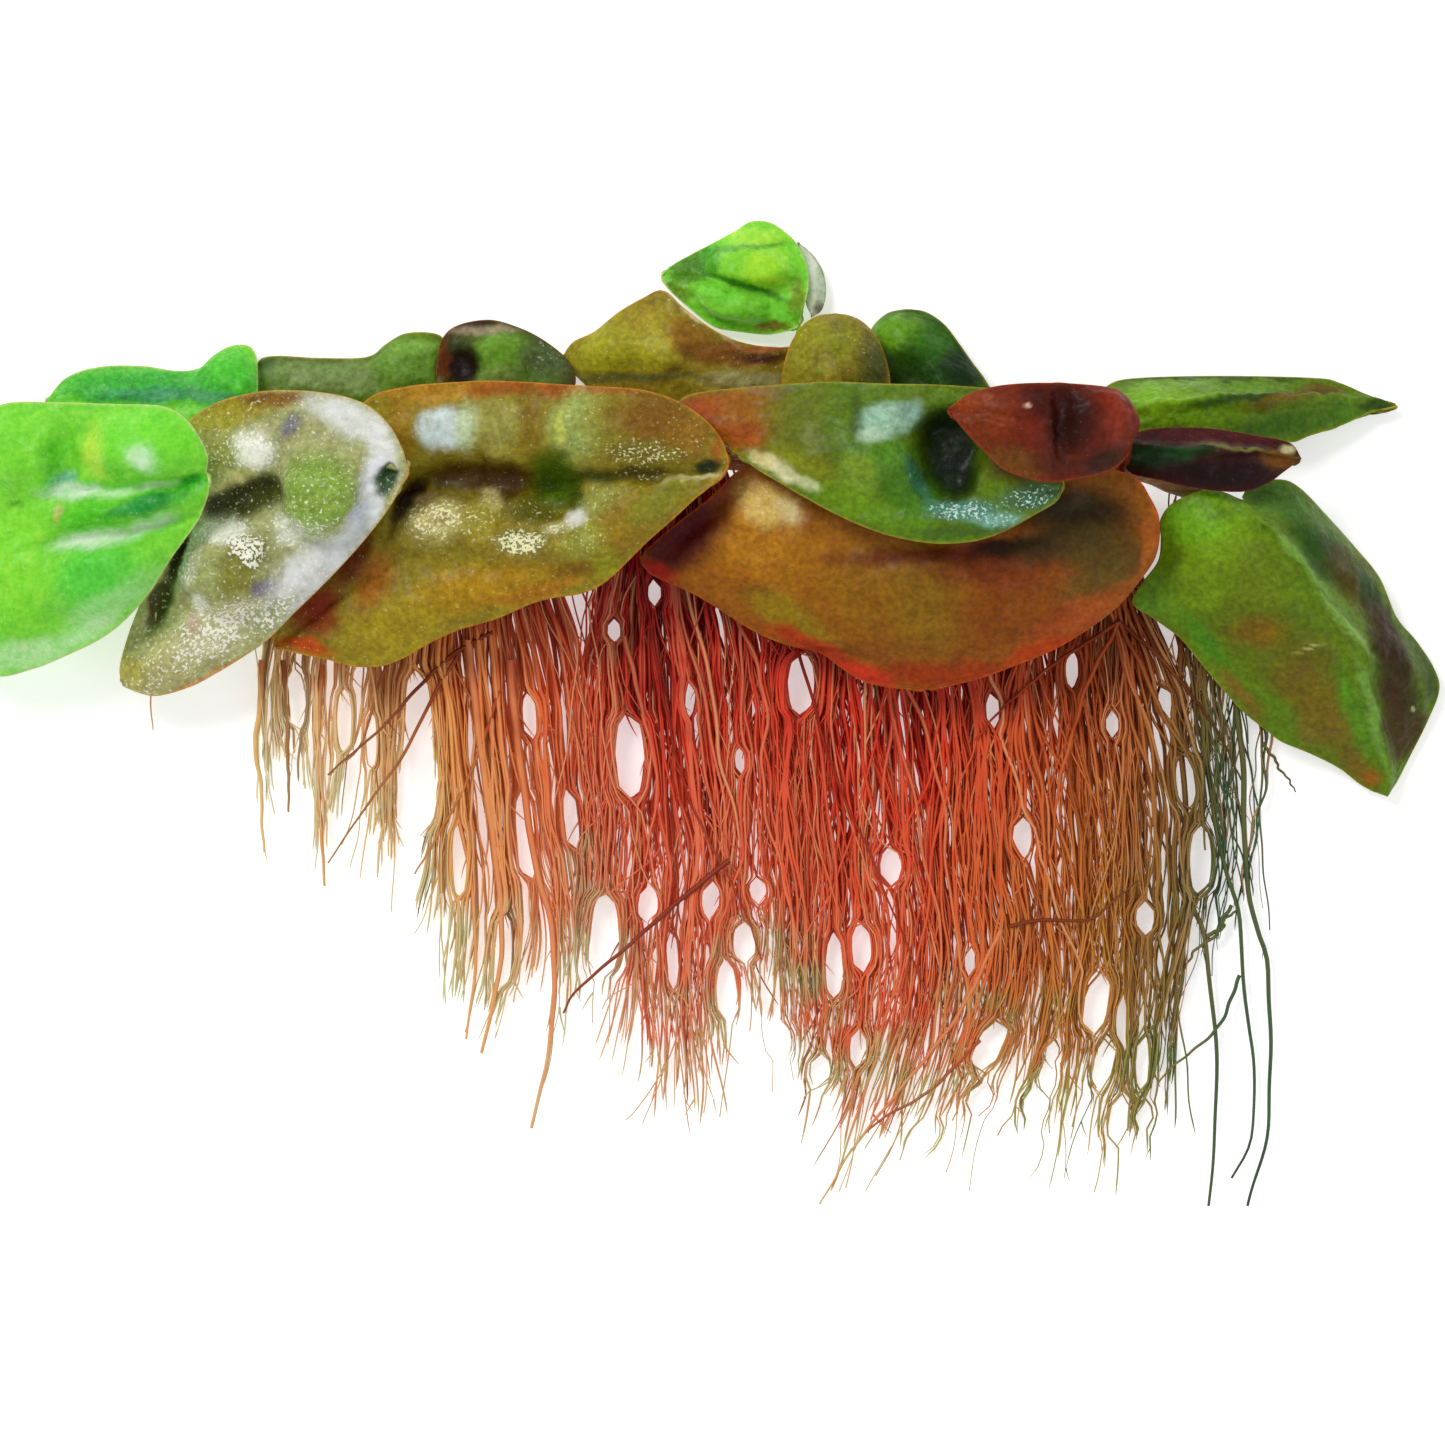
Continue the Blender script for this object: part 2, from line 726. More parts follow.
LEAVES = (
    Leaf(
        "leaf_front_1", LIME, base=(210, 474, 6.6), tip=(-70, 576, 1.8),
        midrib=((150, 500, 6.2), (82, 512, 5.4), (0, 545, 3.8)),
        left=(
            (213, 492, 6.5), (205, 515, 6.2), (197, 529, 6.0), (175, 559, 5.5), (154, 592, 5.0),
            (129, 620, 4.5), (104, 639, 4.0), (71, 655, 3.5), (36, 669, 3.0), (-5, 676, 2.5),
            (-45, 650, 2.0),
        ),
        right=(
            (212, 458, 6.7), (204, 440, 6.7), (189, 420, 6.5), (165, 408, 6.2), (118, 406, 5.6),
            (60, 404, 4.9), (4, 406, 4.0), (-40, 435, 2.9), (-66, 500, 2.1),
        ),
        petiole=((145, 441, 3.6), (182, 452, 4.9)),
        swellings=(
            Swelling(150, 446, 54, 36, 0, 1.3), Swelling(20, 450, 44, 42, 0, 1.0),
            Swelling(110, 580, 54, 36, 15, 1.1), Swelling(15, 600, 46, 56, 0, 0.7),
            Swelling(128, 512, 72, 13, 8, 0.55), Swelling(120, 491, 84, 7, 6, -0.4),
            Swelling(112, 536, 80, 8, 12, -0.45), Swelling(68, 468, 11, 40, 0, -0.5),
        ),
        stains=(
            Stain(27, 560, 30, 62, 0, "#97EE3E", 0.8), Stain(27, 450, 30, 42, 0, "#86E43A", 0.8),
            Stain(57, 466, 10, 26, 0, "#55BC2C", 0.7), Stain(160, 445, 52, 38, 0, "#80E838"),
            Stain(101, 450, 16, 28, 0, "#C6F250"), Stain(156, 456, 16, 16, 0, "#D4FBC8"),
            Stain(66, 482, 15, 9, 30, "#86C4B4", 0.8), Stain(110, 576, 44, 36, 10, "#66DC48"),
            Stain(76, 493, 30, 9, 0, "#F2FFF0", 0.95), Stain(140, 491, 44, 5, 8, "#DFFFD0", 0.9),
            Stain(94, 517, 38, 14, 8, "#5ED026"), Stain(155, 505, 40, 10, 12, "#1C9A3E", 0.95),
            Stain(196, 487, 16, 9, 20, "#30B02C", 0.9), Stain(61, 516, 6, 11, 0, "#CFC36A", 0.8),
            Stain(92, 541, 38, 8, 12, "#F6FFF0", 0.95), Stain(146, 529, 36, 8, 20, "#E6FCDC", 0.9),
            Stain(19, 504, 9, 4, 0, "#4A9A20", 0.7), Stain(112, 606, 60, 14, 32, "#B6F29C", 0.7),
            Stain(30, 655, 52, 16, 10, "#CBF6B4", 0.8, 0.4), Stain(90, 632, 40, 9, 30, "#D4F8C0", 0.7, 0.3),
        ),
    ),
    Leaf(
        "leaf_front_2", SILVER_GREEN, base=(411, 472, 6.6), tip=(124, 686, 2.2),
        midrib=((360, 490, 6.2), (285, 520, 5.3), (200, 590, 4.0)),
        left=(
            (403, 488, 6.5), (395, 504, 6.3), (376, 530, 5.8), (351, 559, 5.2), (324, 587, 4.6),
            (296, 614, 4.1), (271, 639, 3.6), (247, 656, 3.3), (219, 673, 2.9), (192, 687, 2.7),
            (160, 696, 2.4), (140, 693, 2.3),
        ),
        right=(
            (405, 452, 6.5), (391, 426, 6.3), (365, 405, 6.0), (329, 395, 5.7), (282, 392, 5.4),
            (247, 396, 5.0), (215, 406, 4.6), (186, 428, 4.3), (168, 470, 4.0), (157, 530, 3.6),
            (146, 590, 3.2), (130, 635, 2.8), (121, 668, 2.4),
        ),
        petiole=((282, 451, 3.7), (348, 456, 5.1)),
        swellings=(
            Swelling(324, 492, 39, 42, 0, 1.5, Pouch.CRISP),
            Swelling(233, 566, 46, 42, 20, 1.3, Pouch.CRISP), Swelling(255, 452, 24, 20, 0, 0.5),
            Swelling(248, 500, 44, 16, 14, -0.8), Swelling(305, 590, 54, 24, 42, 0.35),
            Swelling(178, 655, 60, 26, 25, 0.5), Swelling(388, 484, 10, 17, -20, -0.5),
            Swelling(181, 560, 30, 6, 70, -0.45), Swelling(162, 606, 28, 9, 75, -0.45),
        ),
        stains=(
            Stain(238, 410, 52, 14, 10, "#A8971E"), Stain(276, 401, 36, 7, 0, "#8A5A14", 0.9),
            Stain(219, 424, 34, 11, 10, "#B6AC3C", 0.9), Stain(350, 420, 44, 18, -25, "#F1F4F0"),
            Stain(386, 452, 13, 34, 15, "#F6F7F2"), Stain(372, 494, 14, 52, -12, "#F0F4F8"),
            Stain(291, 427, 10, 15, -40, "#76708C", 0.8),
            Stain(255, 452, 23, 20, -20, "#F8FAEC", 1.0, 1.0, 2.4),
            Stain(219, 455, 22, 26, 0, "#B0AA52", 0.8, 0.3), Stain(238, 480, 30, 8, 20, "#DCD48A", 0.9),
            Stain(252, 500, 37, 16, 14, "#42430A", 1.0, 0.0, 2.6),
            Stain(215, 509, 13, 13, 0, "#3A3220", 0.9),
            Stain(324, 488, 38, 39, 0, "#8DAF42", 1.0, 0.15, 3.0),
            Stain(318, 463, 30, 7, 0, "#7C9E38", 0.6), Stain(330, 478, 20, 18, 0, "#9ABD4E", 0.7),
            Stain(362, 516, 7, 15, 0, "#A6B4D8", 0.8), Stain(322, 527, 28, 16, 0, "#B6CE8A", 0.8, 0.4),
            Stain(292, 528, 18, 18, 0, "#EAF2DC", 0.9, 0.8),
            Stain(387, 483, 10, 17, -20, "#36562E", 1.0, 0.0, 2.4),
            Stain(192, 554, 14, 34, -10, "#CACDB4", 0.9, 0.5), Stain(238, 572, 36, 34, 15, "#A3AB62", 0.9),
            Stain(246, 570, 20, 28, 10, "#8A8626", 0.8),
            Stain(228, 527, 28, 9, 5, "#F8F8EC", 1.0, 1.0, 2.2),
            Stain(254, 545, 20, 14, -30, "#767C3C", 0.9, 1.4), Stain(267, 584, 10, 11, 30, "#6C6490", 0.8),
            Stain(308, 578, 56, 26, 44, "#F3F5FA", 0.95, 0.2), Stain(352, 536, 14, 36, -38, "#EAF2F6", 0.8),
            Stain(181, 560, 31, 5.5, 70, "#3E3E14", 1.0, 0.0, 2.4),
            Stain(161, 606, 27, 9, 75, "#52501C", 1.0, 0.0, 2.4),
            Stain(167, 664, 50, 26, 25, "#C4BC7A", 0.9, 0.3), Stain(132, 670, 14, 18, 20, "#BAB040", 0.8),
            Stain(222, 628, 54, 24, 32, "#D4D4A4", 0.8, 1.1),
            Stain(278, 612, 30, 10, 42, "#A6AE74", 0.8, 0.7),
            Stain(203, 600, 10, 14, 0, "#F6F6E8", 0.9, 0.8), Stain(197, 624, 8, 12, 0, "#DCB4AC", 0.6),
            Stain(215, 675, 46, 5, 26, "#D98A50", 0.7),
        ),
        rows=120, columns=88,
    ),
    Leaf(
        "leaf_front_3", OLIVE, base=(728, 468, 6.4), tip=(274, 646, 2.6),
        midrib=((600, 478, 5.9), (500, 500, 5.2), (395, 561, 4.0)),
        left=(
            (716, 483, 6.4), (696, 500, 6.3), (671, 523, 6.0), (646, 545, 5.8), (609, 581, 5.5),
            (584, 594, 5.3), (559, 598, 5.1), (534, 604, 4.9), (499, 619, 4.6), (459, 631, 4.2),
            (430, 644, 3.9), (410, 656, 3.7), (385, 666, 3.5), (356, 667, 3.2), (329, 660, 3.0),
            (300, 654, 2.8),
        ),
        right=(
            (724, 446, 6.5), (708, 424, 6.6), (683, 406, 6.6), (658, 396, 6.6), (633, 391, 6.5),
            (571, 387, 6.1), (499, 383, 5.7), (459, 384, 5.2), (410, 388, 4.7), (370, 400, 4.4),
            (340, 440, 4.1), (310, 510, 3.7), (284, 590, 3.1),
        ),
        petiole=((592, 458, 3.8), (662, 461, 4.9)),
        swellings=(
            Swelling(455, 432, 44, 27, 0, 0.8), Swelling(590, 435, 64, 34, 0, 1.0),
            Swelling(674, 440, 42, 26, 0, 0.5), Swelling(485, 482, 84, 19, 0, -1.1, Pouch.CRISP),
            Swelling(552, 486, 31, 31, 0, -0.9, Pouch.CRISP), Swelling(446, 528, 50, 26, 5, 0.9),
            Swelling(530, 548, 50, 16, 0, 0.7), Swelling(622, 530, 62, 30, 35, 0.6),
            Swelling(655, 477, 60, 6, 0, -0.45), Swelling(407, 502, 27, 10, 65, -0.7),
            Swelling(440, 604, 104, 36, 14, 0.5),
        ),
        stains=(
            Stain(545, 390, 130, 10, 0, "#B0601A", 0.95), Stain(422, 394, 52, 13, 0, "#C2921E"),
            Stain(402, 428, 14, 38, 0, "#A6821A", 0.9), Stain(499, 427, 28, 28, 0, "#A8A850", 0.9),
            Stain(446, 431, 28, 21, 0, "#D6EAEA", 1.0, 0.2, 2.2),
            Stain(470, 430, 12, 26, 0, "#CAE0AC", 0.8, 0.3), Stain(534, 420, 15, 32, 0, "#8C7418", 0.9),
            Stain(578, 430, 27, 36, 0, "#A6BC62", 0.95, 0.2), Stain(566, 432, 6, 22, 0, "#CAD45E", 0.9),
            Stain(612, 425, 30, 28, 0, "#96942E", 0.8, 0.2), Stain(660, 424, 50, 28, -10, "#885C12", 0.95),
            Stain(692, 436, 24, 22, -30, "#9A701C", 0.9, 0.2),
            Stain(646, 455, 40, 12, 0, "#8C8430", 0.8, 1.0), Stain(719, 452, 5, 22, -15, "#BC661C", 0.8),
            Stain(596, 477, 26, 8, 0, "#45541A", 0.9), Stain(641, 474, 26, 7, 0, "#565018", 0.8, 0.5),
            Stain(600, 508, 30, 22, 20, "#A2A84E", 0.8, 0.4), Stain(621, 532, 40, 26, 40, "#A07E1A", 0.9),
            Stain(662, 500, 46, 14, 38, "#8E9026", 0.9), Stain(691, 480, 34, 3.5, 6, "#EAE2A2", 0.9),
            Stain(706, 469, 14, 8, 0, "#2A3616", 1.0, 0.0, 2.4),
            Stain(460, 478, 42, 13, 0, "#5A4208", 1.0, 0.0, 2.4),
            Stain(500, 482, 26, 24, 0, "#4E330A", 1.0, 0.0, 2.0),
            Stain(551, 482, 29, 29, 0, "#58780E", 1.0, 0.0, 2.8),
            Stain(575, 500, 10, 14, 30, "#3A500C", 0.8), Stain(530, 512, 28, 12, 0, "#66661A", 0.9, 0.3),
            Stain(407, 502, 27, 10, 65, "#2C0A0A", 1.0, 0.0, 2.6),
            Stain(440, 522, 34, 24, 5, "#C9C17A", 0.95, 1.0),
            Stain(489, 500, 13, 9, -40, "#DCD088", 0.9, 0.5), Stain(424, 497, 11, 6, 0, "#D8B890", 0.8),
            Stain(481, 520, 16, 22, 0, "#B4A83C", 0.7, 0.6),
            Stain(524, 543, 24, 14, 0, "#8E9060", 0.9, 1.6),
            Stain(574, 521, 11, 10, 0, "#FAFAF4", 0.95, 0.3),
            Stain(556, 530, 14, 8, 0, "#DADEA6", 0.8, 1.2),
            Stain(586, 544, 26, 20, 20, "#A0A83E", 0.8, 0.5), Stain(572, 572, 28, 8, 5, "#7A5408", 0.8),
            Stain(609, 566, 16, 14, 20, "#9A9C1C", 0.8), Stain(484, 588, 74, 24, 12, "#B88E12", 0.95),
            Stain(534, 593, 54, 7, 14, "#B87A18", 0.8), Stain(400, 630, 50, 28, 15, "#AE9A1C", 0.95),
            Stain(375, 582, 22, 30, -20, "#B26C1A", 0.9), Stain(318, 612, 30, 24, 50, "#8A2E08"),
            Stain(352, 560, 15, 34, -35, "#6E2A08", 0.95), Stain(306, 646, 30, 8, -10, "#C8480E", 0.9),
        ),
        rows=132, columns=92,
    ),
    Leaf(
        "leaf_front_4", AMBER, base=(905, 461, 5.8), tip=(925, 690, 3.6),
        midrib=((912, 576, 5.2),),
        left=(
            (950, 458, 5.9), (1010, 456, 5.9), (1080, 464, 5.9), (1130, 478, 5.8), (1147, 498, 5.6),
            (1157, 522, 5.4), (1154, 556, 5.1), (1136, 584, 4.8), (1115, 608, 4.6), (1088, 629, 4.4),
            (1053, 650, 4.2), (1019, 664, 4.0), (984, 677, 3.9), (950, 686, 3.7),
        ),
        right=(
            (870, 462, 5.6), (800, 462, 5.2), (745, 468, 4.9), (709, 500, 4.6), (674, 527, 4.2),
            (642, 556, 3.8), (648, 572, 3.7), (661, 580, 3.7), (692, 594, 3.6), (716, 608, 3.6),
            (754, 632, 3.6), (788, 646, 3.6), (819, 653, 3.5), (843, 670, 3.5), (864, 682, 3.5),
            (890, 688, 3.5),
        ),
        petiole=((905, 463, 3.6),),
        swellings=(
            Swelling(765, 550, 74, 44, 0, 0.5), Swelling(905, 605, 120, 54, 0, 0.6),
            Swelling(1062, 590, 74, 50, 0, 0.5), Swelling(760, 505, 34, 22, 20, 0.4),
            Swelling(700, 520, 50, 12, 42, -0.35), Swelling(1110, 520, 40, 12, -40, -0.3),
        ),
        stains=(
            Stain(780, 560, 90, 46, 0, "#B27610", 0.9), Stain(754, 536, 42, 32, 0, "#C4861A", 0.9),
            Stain(726, 577, 28, 20, 0, "#A8640E", 0.8), Stain(788, 616, 50, 18, -30, "#9C8412", 0.9),
            Stain(880, 590, 60, 50, 0, "#9A6C0E", 0.8), Stain(930, 596, 40, 56, 0, "#8E6C0C", 0.8),
            Stain(1019, 606, 64, 42, 0, "#8E4A08", 0.9), Stain(985, 566, 70, 20, 0, "#7C3208", 0.8),
            Stain(1070, 622, 60, 20, 28, "#B2541A", 0.9),
            Stain(684, 534, 54, 32, 45, "#560C0A", 1.0, 0.0, 2.0),
            Stain(722, 484, 20, 24, 0, "#7A2C10", 0.8), Stain(650, 572, 26, 12, -20, "#B81810", 0.9),
            Stain(766, 504, 30, 20, -20, "#E6C668", 0.95, 0.6),
            Stain(790, 510, 16, 9, -30, "#F2E0A0", 0.8, 0.5), Stain(950, 553, 130, 9, 3, "#6A1E06", 0.8),
            Stain(1003, 547, 34, 8, 12, "#260C04", 0.95), Stain(1070, 512, 66, 26, -8, "#2A2608", 0.95),
            Stain(1056, 544, 54, 18, 10, "#3C3008", 0.9), Stain(1100, 552, 46, 26, 0, "#544410", 0.9),
            Stain(1098, 578, 42, 14, 20, "#64500F", 0.8), Stain(1148, 530, 8, 42, -8, "#B0601A", 0.95),
            Stain(950, 674, 90, 14, 0, "#A83C0A", 0.95), Stain(1040, 652, 44, 11, 20, "#C0420C", 0.9),
            Stain(812, 645, 52, 11, -24, "#B83A10", 0.95), Stain(862, 674, 34, 10, -20, "#C83418", 0.95),
        ),
        rows=112, columns=104, groove_depth=0.05, groove_width=0.6,
    ),
    Leaf(
        "leaf_front_5", GREEN, base=(737, 456, 6.0), tip=(1061, 484, 7.2),
        midrib=((800, 458, 6.7), (890, 466, 7.2), (980, 474, 7.3)),
        left=(
            (722, 444, 5.8), (700, 430, 5.5), (676, 414, 5.2), (686, 398, 5.2), (726, 391, 5.4),
            (788, 386, 5.9), (833, 384, 6.3), (881, 386, 6.7), (950, 388, 7.0), (1010, 396, 7.1),
            (1045, 425, 7.2), (1060, 456, 7.2),
        ),
        right=(
            (755, 470, 6.3), (778, 484, 6.6), (802, 498, 6.7), (833, 515, 6.8), (864, 529, 6.9),
            (895, 539, 6.9), (933, 545, 6.9), (971, 543, 7.0), (1002, 533, 7.0), (1033, 516, 7.1),
            (1055, 502, 7.2),
        ),
        petiole=((762, 457, 3.7),),
        swellings=(
            Swelling(836, 440, 62, 44, 0, 0.9), Swelling(946, 456, 34, 42, 0, -1.3, Pouch.CRISP),
            Swelling(885, 470, 28, 34, 0, 0.5), Swelling(955, 522, 70, 14, 0, 0.5),
            Swelling(720, 418, 44, 22, 0, 0.4), Swelling(1012, 438, 36, 32, 0, 0.4),
        ),
        stains=(
            Stain(830, 440, 80, 40, -10, "#66701A", 0.75), Stain(706, 416, 44, 26, 0, "#AA4A10"),
            Stain(754, 416, 42, 36, 0, "#A06414", 0.95), Stain(742, 438, 26, 14, 0, "#B25A1C", 0.9),
            Stain(803, 424, 40, 44, 0, "#6C7A10", 0.95), Stain(850, 425, 30, 38, 0, "#5C7E10", 0.95),
            Stain(858, 420, 7, 32, 0, "#3C580C", 0.8), Stain(802, 472, 44, 18, -20, "#8E9618", 0.9),
            Stain(846, 500, 40, 16, -24, "#74A014", 0.9), Stain(880, 460, 34, 24, 0, "#5A9420", 0.9),
            Stain(860, 474, 20, 20, 0, "#88AC2C", 0.9), Stain(912, 496, 32, 26, -30, "#4C8A16", 0.9),
            Stain(888, 422, 28, 18, 0, "#A2CEB4", 1.0, 0.2, 2.2),
            Stain(908, 414, 14, 12, 0, "#8EB8A8", 0.8), Stain(872, 436, 16, 8, 0, "#BCDCBC", 0.8),
            Stain(902, 524, 38, 11, -18, "#6AA01C", 0.9),
            Stain(943, 446, 30, 40, 0, "#12200A", 1.0, 0.0, 2.6),
            Stain(952, 478, 28, 24, -20, "#0E1C10", 0.95), Stain(916, 482, 30, 6, -58, "#3E7E5C", 0.9, 0.4),
            Stain(962, 512, 36, 11, -6, "#5C9C8A", 0.95, 1.3),
            Stain(1028, 498, 32, 13, 12, "#4A7A58", 0.9, 1.1),
            Stain(994, 522, 26, 7, 8, "#86C2B0", 0.9, 1.0), Stain(960, 533, 44, 7, 2, "#4E7A18", 0.9),
            Stain(764, 461, 18, 8, -20, "#F0E6A4", 0.95, 0.5),
            Stain(788, 476, 18, 8, -30, "#EAEABA", 0.9, 0.5),
            Stain(808, 487, 12, 7, -30, "#D2DEA4", 0.8, 0.3), Stain(1019, 464, 36, 22, 0, "#5A2E0C", 0.9),
        ),
        rows=112, columns=84, groove_depth=0.0,
    ),
    Leaf(
        "leaf_front_6", RUSSET, base=(1128, 446, 6.8), tip=(946, 413, 8.6),
        midrib=((1080, 436, 8.2), (1020, 428, 8.7)),
        left=(
            (1124, 458, 7.0), (1110, 471, 7.3), (1075, 481, 7.9), (1040, 484, 8.3), (1005, 474, 8.5),
            (985, 458, 8.6), (962, 434, 8.6),
        ),
        right=(
            (1137, 428, 7.0), (1132, 411, 7.3), (1122, 398, 7.6), (1105, 390, 8.0), (1053, 386, 8.5),
            (1002, 388, 8.7), (966, 397, 8.7),
        ),
        petiole=((1122, 470, 3.6),),
        swellings=(
            Swelling(1008, 430, 46, 34, 0, 0.6), Swelling(1102, 426, 34, 34, 0, 0.7),
            Swelling(1060, 430, 11, 42, 0, -0.4),
        ),
        stains=(
            Stain(978, 424, 30, 30, 0, "#8A380A", 0.9), Stain(967, 406, 16, 10, 0, "#A0420E", 0.8),
            Stain(1064, 424, 26, 38, 0, "#2C0D06", 0.95), Stain(1036, 405, 24, 18, 0, "#4A1206", 0.9),
            Stain(1112, 416, 17, 26, -10, "#983210", 0.95), Stain(1126, 401, 8, 10, 0, "#5A1408", 0.8),
            Stain(1008, 468, 34, 16, -10, "#7C4C10", 0.9), Stain(1056, 464, 26, 16, 0, "#562008", 0.9),
            Stain(1100, 464, 24, 12, 20, "#3A1A08", 0.9), Stain(1019, 413, 2.6, 2.6, 0, "#F0C8B8", 0.9),
        ),
        rows=72, columns=60,
    ),
)


SIDE_LEAVES = (
    Leaf(
        "leaf_side_1", GREEN, base=(1122, 424, 2.4), tip=(1398, 405, 0.6),
        midrib=((1180, 410, 2.3), (1260, 407, 1.9), (1340, 404, 1.0)),
        left=(
            (1100, 400, 1.9), (1110, 384, 1.2), (1140, 378, 0.7), (1223, 376, 0.4), (1315, 378, 0.3),
            (1340, 383, 0.3), (1368, 395, 0.4),
        ),
        right=(
            (1140, 434, 2.4), (1209, 437, 2.2), (1252, 440, 1.9), (1289, 443, 1.7), (1310, 436, 1.5),
            (1338, 427, 1.2), (1373, 412, 0.8),
        ),
        petiole=((1122, 447, 2.8),),
        swellings=(Swelling(1250, 405, 110, 6, 3, 0.5), Swelling(1175, 404, 52, 20, 0, 0.3)),
        stains=(
            Stain(1172, 404, 46, 20, 0, "#86BC10"), Stain(1146, 396, 22, 14, 0, "#7AB010", 0.8),
            Stain(1198, 415, 42, 10, 6, "#78A818", 0.9), Stain(1224, 391, 54, 13, 0, "#6A9A1C", 0.9),
            Stain(1224, 378, 120, 3, 0, "#3A5A10", 0.8), Stain(1283, 400, 48, 8, 10, "#765A18", 0.9),
            Stain(1324, 391, 22, 8, 0, "#6A5018", 0.8), Stain(1244, 405, 64, 3, 9, "#24480C", 0.9),
            Stain(1283, 425, 54, 14, 8, "#3A6410", 0.9), Stain(1338, 414, 34, 10, 16, "#4C7818", 0.9),
            Stain(1378, 403, 18, 6, 10, "#203C10", 0.8),
        ),
        rows=84, columns=48, rim_width=0.08,
    ),
    Leaf(
        "leaf_side_2", MAROON, base=(1122, 458, 4.5), tip=(1299, 460, 4.3),
        midrib=((1160, 452, 5.0), (1215, 452, 5.1), (1262, 456, 4.8)),
        left=((1130, 438, 4.5), (1150, 430, 4.5), (1200, 429, 4.5), (1250, 436, 4.4), (1287, 444, 4.3)),
        right=(
            (1128, 474, 4.6), (1160, 482, 4.7), (1195, 490, 4.7), (1240, 493, 4.6), (1266, 484, 4.5),
            (1280, 474, 4.4),
        ),
        petiole=((1147, 461, 3.6),),
        swellings=(Swelling(1210, 450, 84, 5, -4, 0.4), Swelling(1150, 458, 34, 16, 0, 0.2)),
        stains=(
            Stain(1209, 437, 84, 8, -4, "#4E1412", 0.9), Stain(1150, 458, 40, 13, 0, "#163A18", 0.95),
            Stain(1178, 452, 32, 7, 0, "#1E4C20", 0.9), Stain(1218, 475, 54, 14, -2, "#1C0506", 0.95),
            Stain(1250, 452, 56, 2.2, -8, "#7E7E34", 0.8), Stain(1276, 461, 22, 11, 0, "#80500F", 0.95),
            Stain(1286, 449, 7, 5, 0, "#DCDCA0", 0.9),
        ),
        rows=64, columns=40, rim_width=0.07,
    ),
    Leaf(
        "leaf_drooping", GREEN, base=(1238, 500, 3.5), tip=(1384, 796, 0.5),
        midrib=(
            (1254, 520, 4.2), (1271, 533, 4.5), (1287, 549, 4.6), (1304, 572, 4.5), (1318, 601, 4.2),
            (1338, 621, 3.9), (1355, 642, 3.6), (1364, 662, 3.2), (1363, 684, 2.8), (1371, 710, 2.2),
            (1381, 740, 1.5), (1387, 774, 0.9),
        ),
        left=(
            (1250, 486, 3.1), (1278, 480, 2.8), (1298, 488, 2.4), (1324, 514, 1.9), (1353, 546, 1.5),
            (1379, 578, 1.2), (1396, 617, 1.0), (1416, 641, 0.8), (1433, 667, 0.7), (1439, 690, 0.6),
            (1427, 722, 0.5), (1410, 756, 0.4), (1395, 785, 0.4),
        ),
        right=(
            (1222, 493, 3.9), (1205, 491, 4.1), (1188, 495, 4.1), (1168, 506, 3.9), (1158, 522, 3.7),
            (1159, 540, 3.5), (1156, 562, 3.4), (1140, 584, 3.2), (1131, 604, 3.1), (1152, 619, 2.9),
            (1178, 638, 2.6), (1195, 658, 2.4), (1215, 682, 2.2), (1241, 711, 1.9), (1266, 731, 1.6),
            (1281, 742, 1.4), (1310, 754, 1.1), (1338, 768, 0.8), (1362, 786, 0.6),
        ),
        petiole=((1208, 496, 2.4), (1230, 504, 2.6)),
        swellings=(
            Swelling(1205, 542, 46, 40, 0, 0.7), Swelling(1262, 620, 72, 44, -48, 0.6),
            Swelling(1330, 548, 50, 22, -50, 0.4), Swelling(1400, 670, 50, 18, -65, 0.3),
        ),
        stains=(
            Stain(1206, 540, 60, 46, -30, "#7EA60E"), Stain(1188, 520, 36, 26, 0, "#7ABA1C", 0.9),
            Stain(1218, 508, 28, 16, 0, "#6A9A16", 0.8), Stain(1150, 596, 20, 20, 0, "#6C9E22", 0.9),
            Stain(1198, 586, 42, 30, 0, "#74980C", 0.9), Stain(1254, 576, 36, 36, 0, "#70880C", 0.9),
            Stain(1262, 640, 60, 40, -40, "#6C7C10", 0.9), Stain(1249, 632, 28, 17, 0, "#8A6210", 0.8),
            Stain(1310, 648, 38, 20, 0, "#706E12", 0.8), Stain(1304, 686, 42, 26, -30, "#7E6412", 0.8),
            Stain(1324, 726, 32, 24, -30, "#86681A", 0.8), Stain(1355, 764, 22, 14, -40, "#80601A", 0.8),
            Stain(1204, 644, 40, 9, -50, "#4E8C12", 0.9), Stain(1240, 694, 34, 8, -46, "#8A6A20", 0.8),
            Stain(1354, 716, 52, 10, -72, "#5E9618", 0.9), Stain(1330, 636, 44, 12, -48, "#6C8A0E", 0.8),
            Stain(1368, 778, 10, 8, 0, "#A8641A", 0.8), Stain(1275, 502, 36, 18, -20, "#4E7C24", 0.95),
            Stain(1320, 552, 50, 22, -50, "#2A560E", 1.0), Stain(1350, 580, 44, 20, -55, "#58440E", 0.85),
            Stain(1374, 606, 50, 10, -60, "#1E4C0C", 0.9), Stain(1384, 640, 46, 16, -66, "#40280A", 0.95),
            Stain(1396, 676, 60, 20, -72, "#38280C", 0.9), Stain(1390, 716, 40, 16, -80, "#461F0C", 0.85),
            Stain(1419, 655, 34, 10, -62, "#5C7040", 0.9), Stain(1431, 682, 10, 22, 0, "#4C602A", 0.85),
            Stain(1409, 736, 32, 13, 62, "#4A2E12", 0.85), Stain(1411, 711, 2.6, 2.6, 0, "#D0D8A8", 0.9),
            Stain(1304, 646, 18, 1.6, 14, "#D0D47A", 0.9), Stain(1300, 566, 44, 4.5, -50, "#86B84A", 0.9),
            Stain(1340, 624, 40, 4.5, -46, "#8CBA50", 0.9), Stain(1368, 712, 62, 4.5, -76, "#7CB048", 0.9),
        ),
        rows=132, columns=84, rim_width=0.08, groove_depth=-0.32, groove_width=0.3,
    ),
)

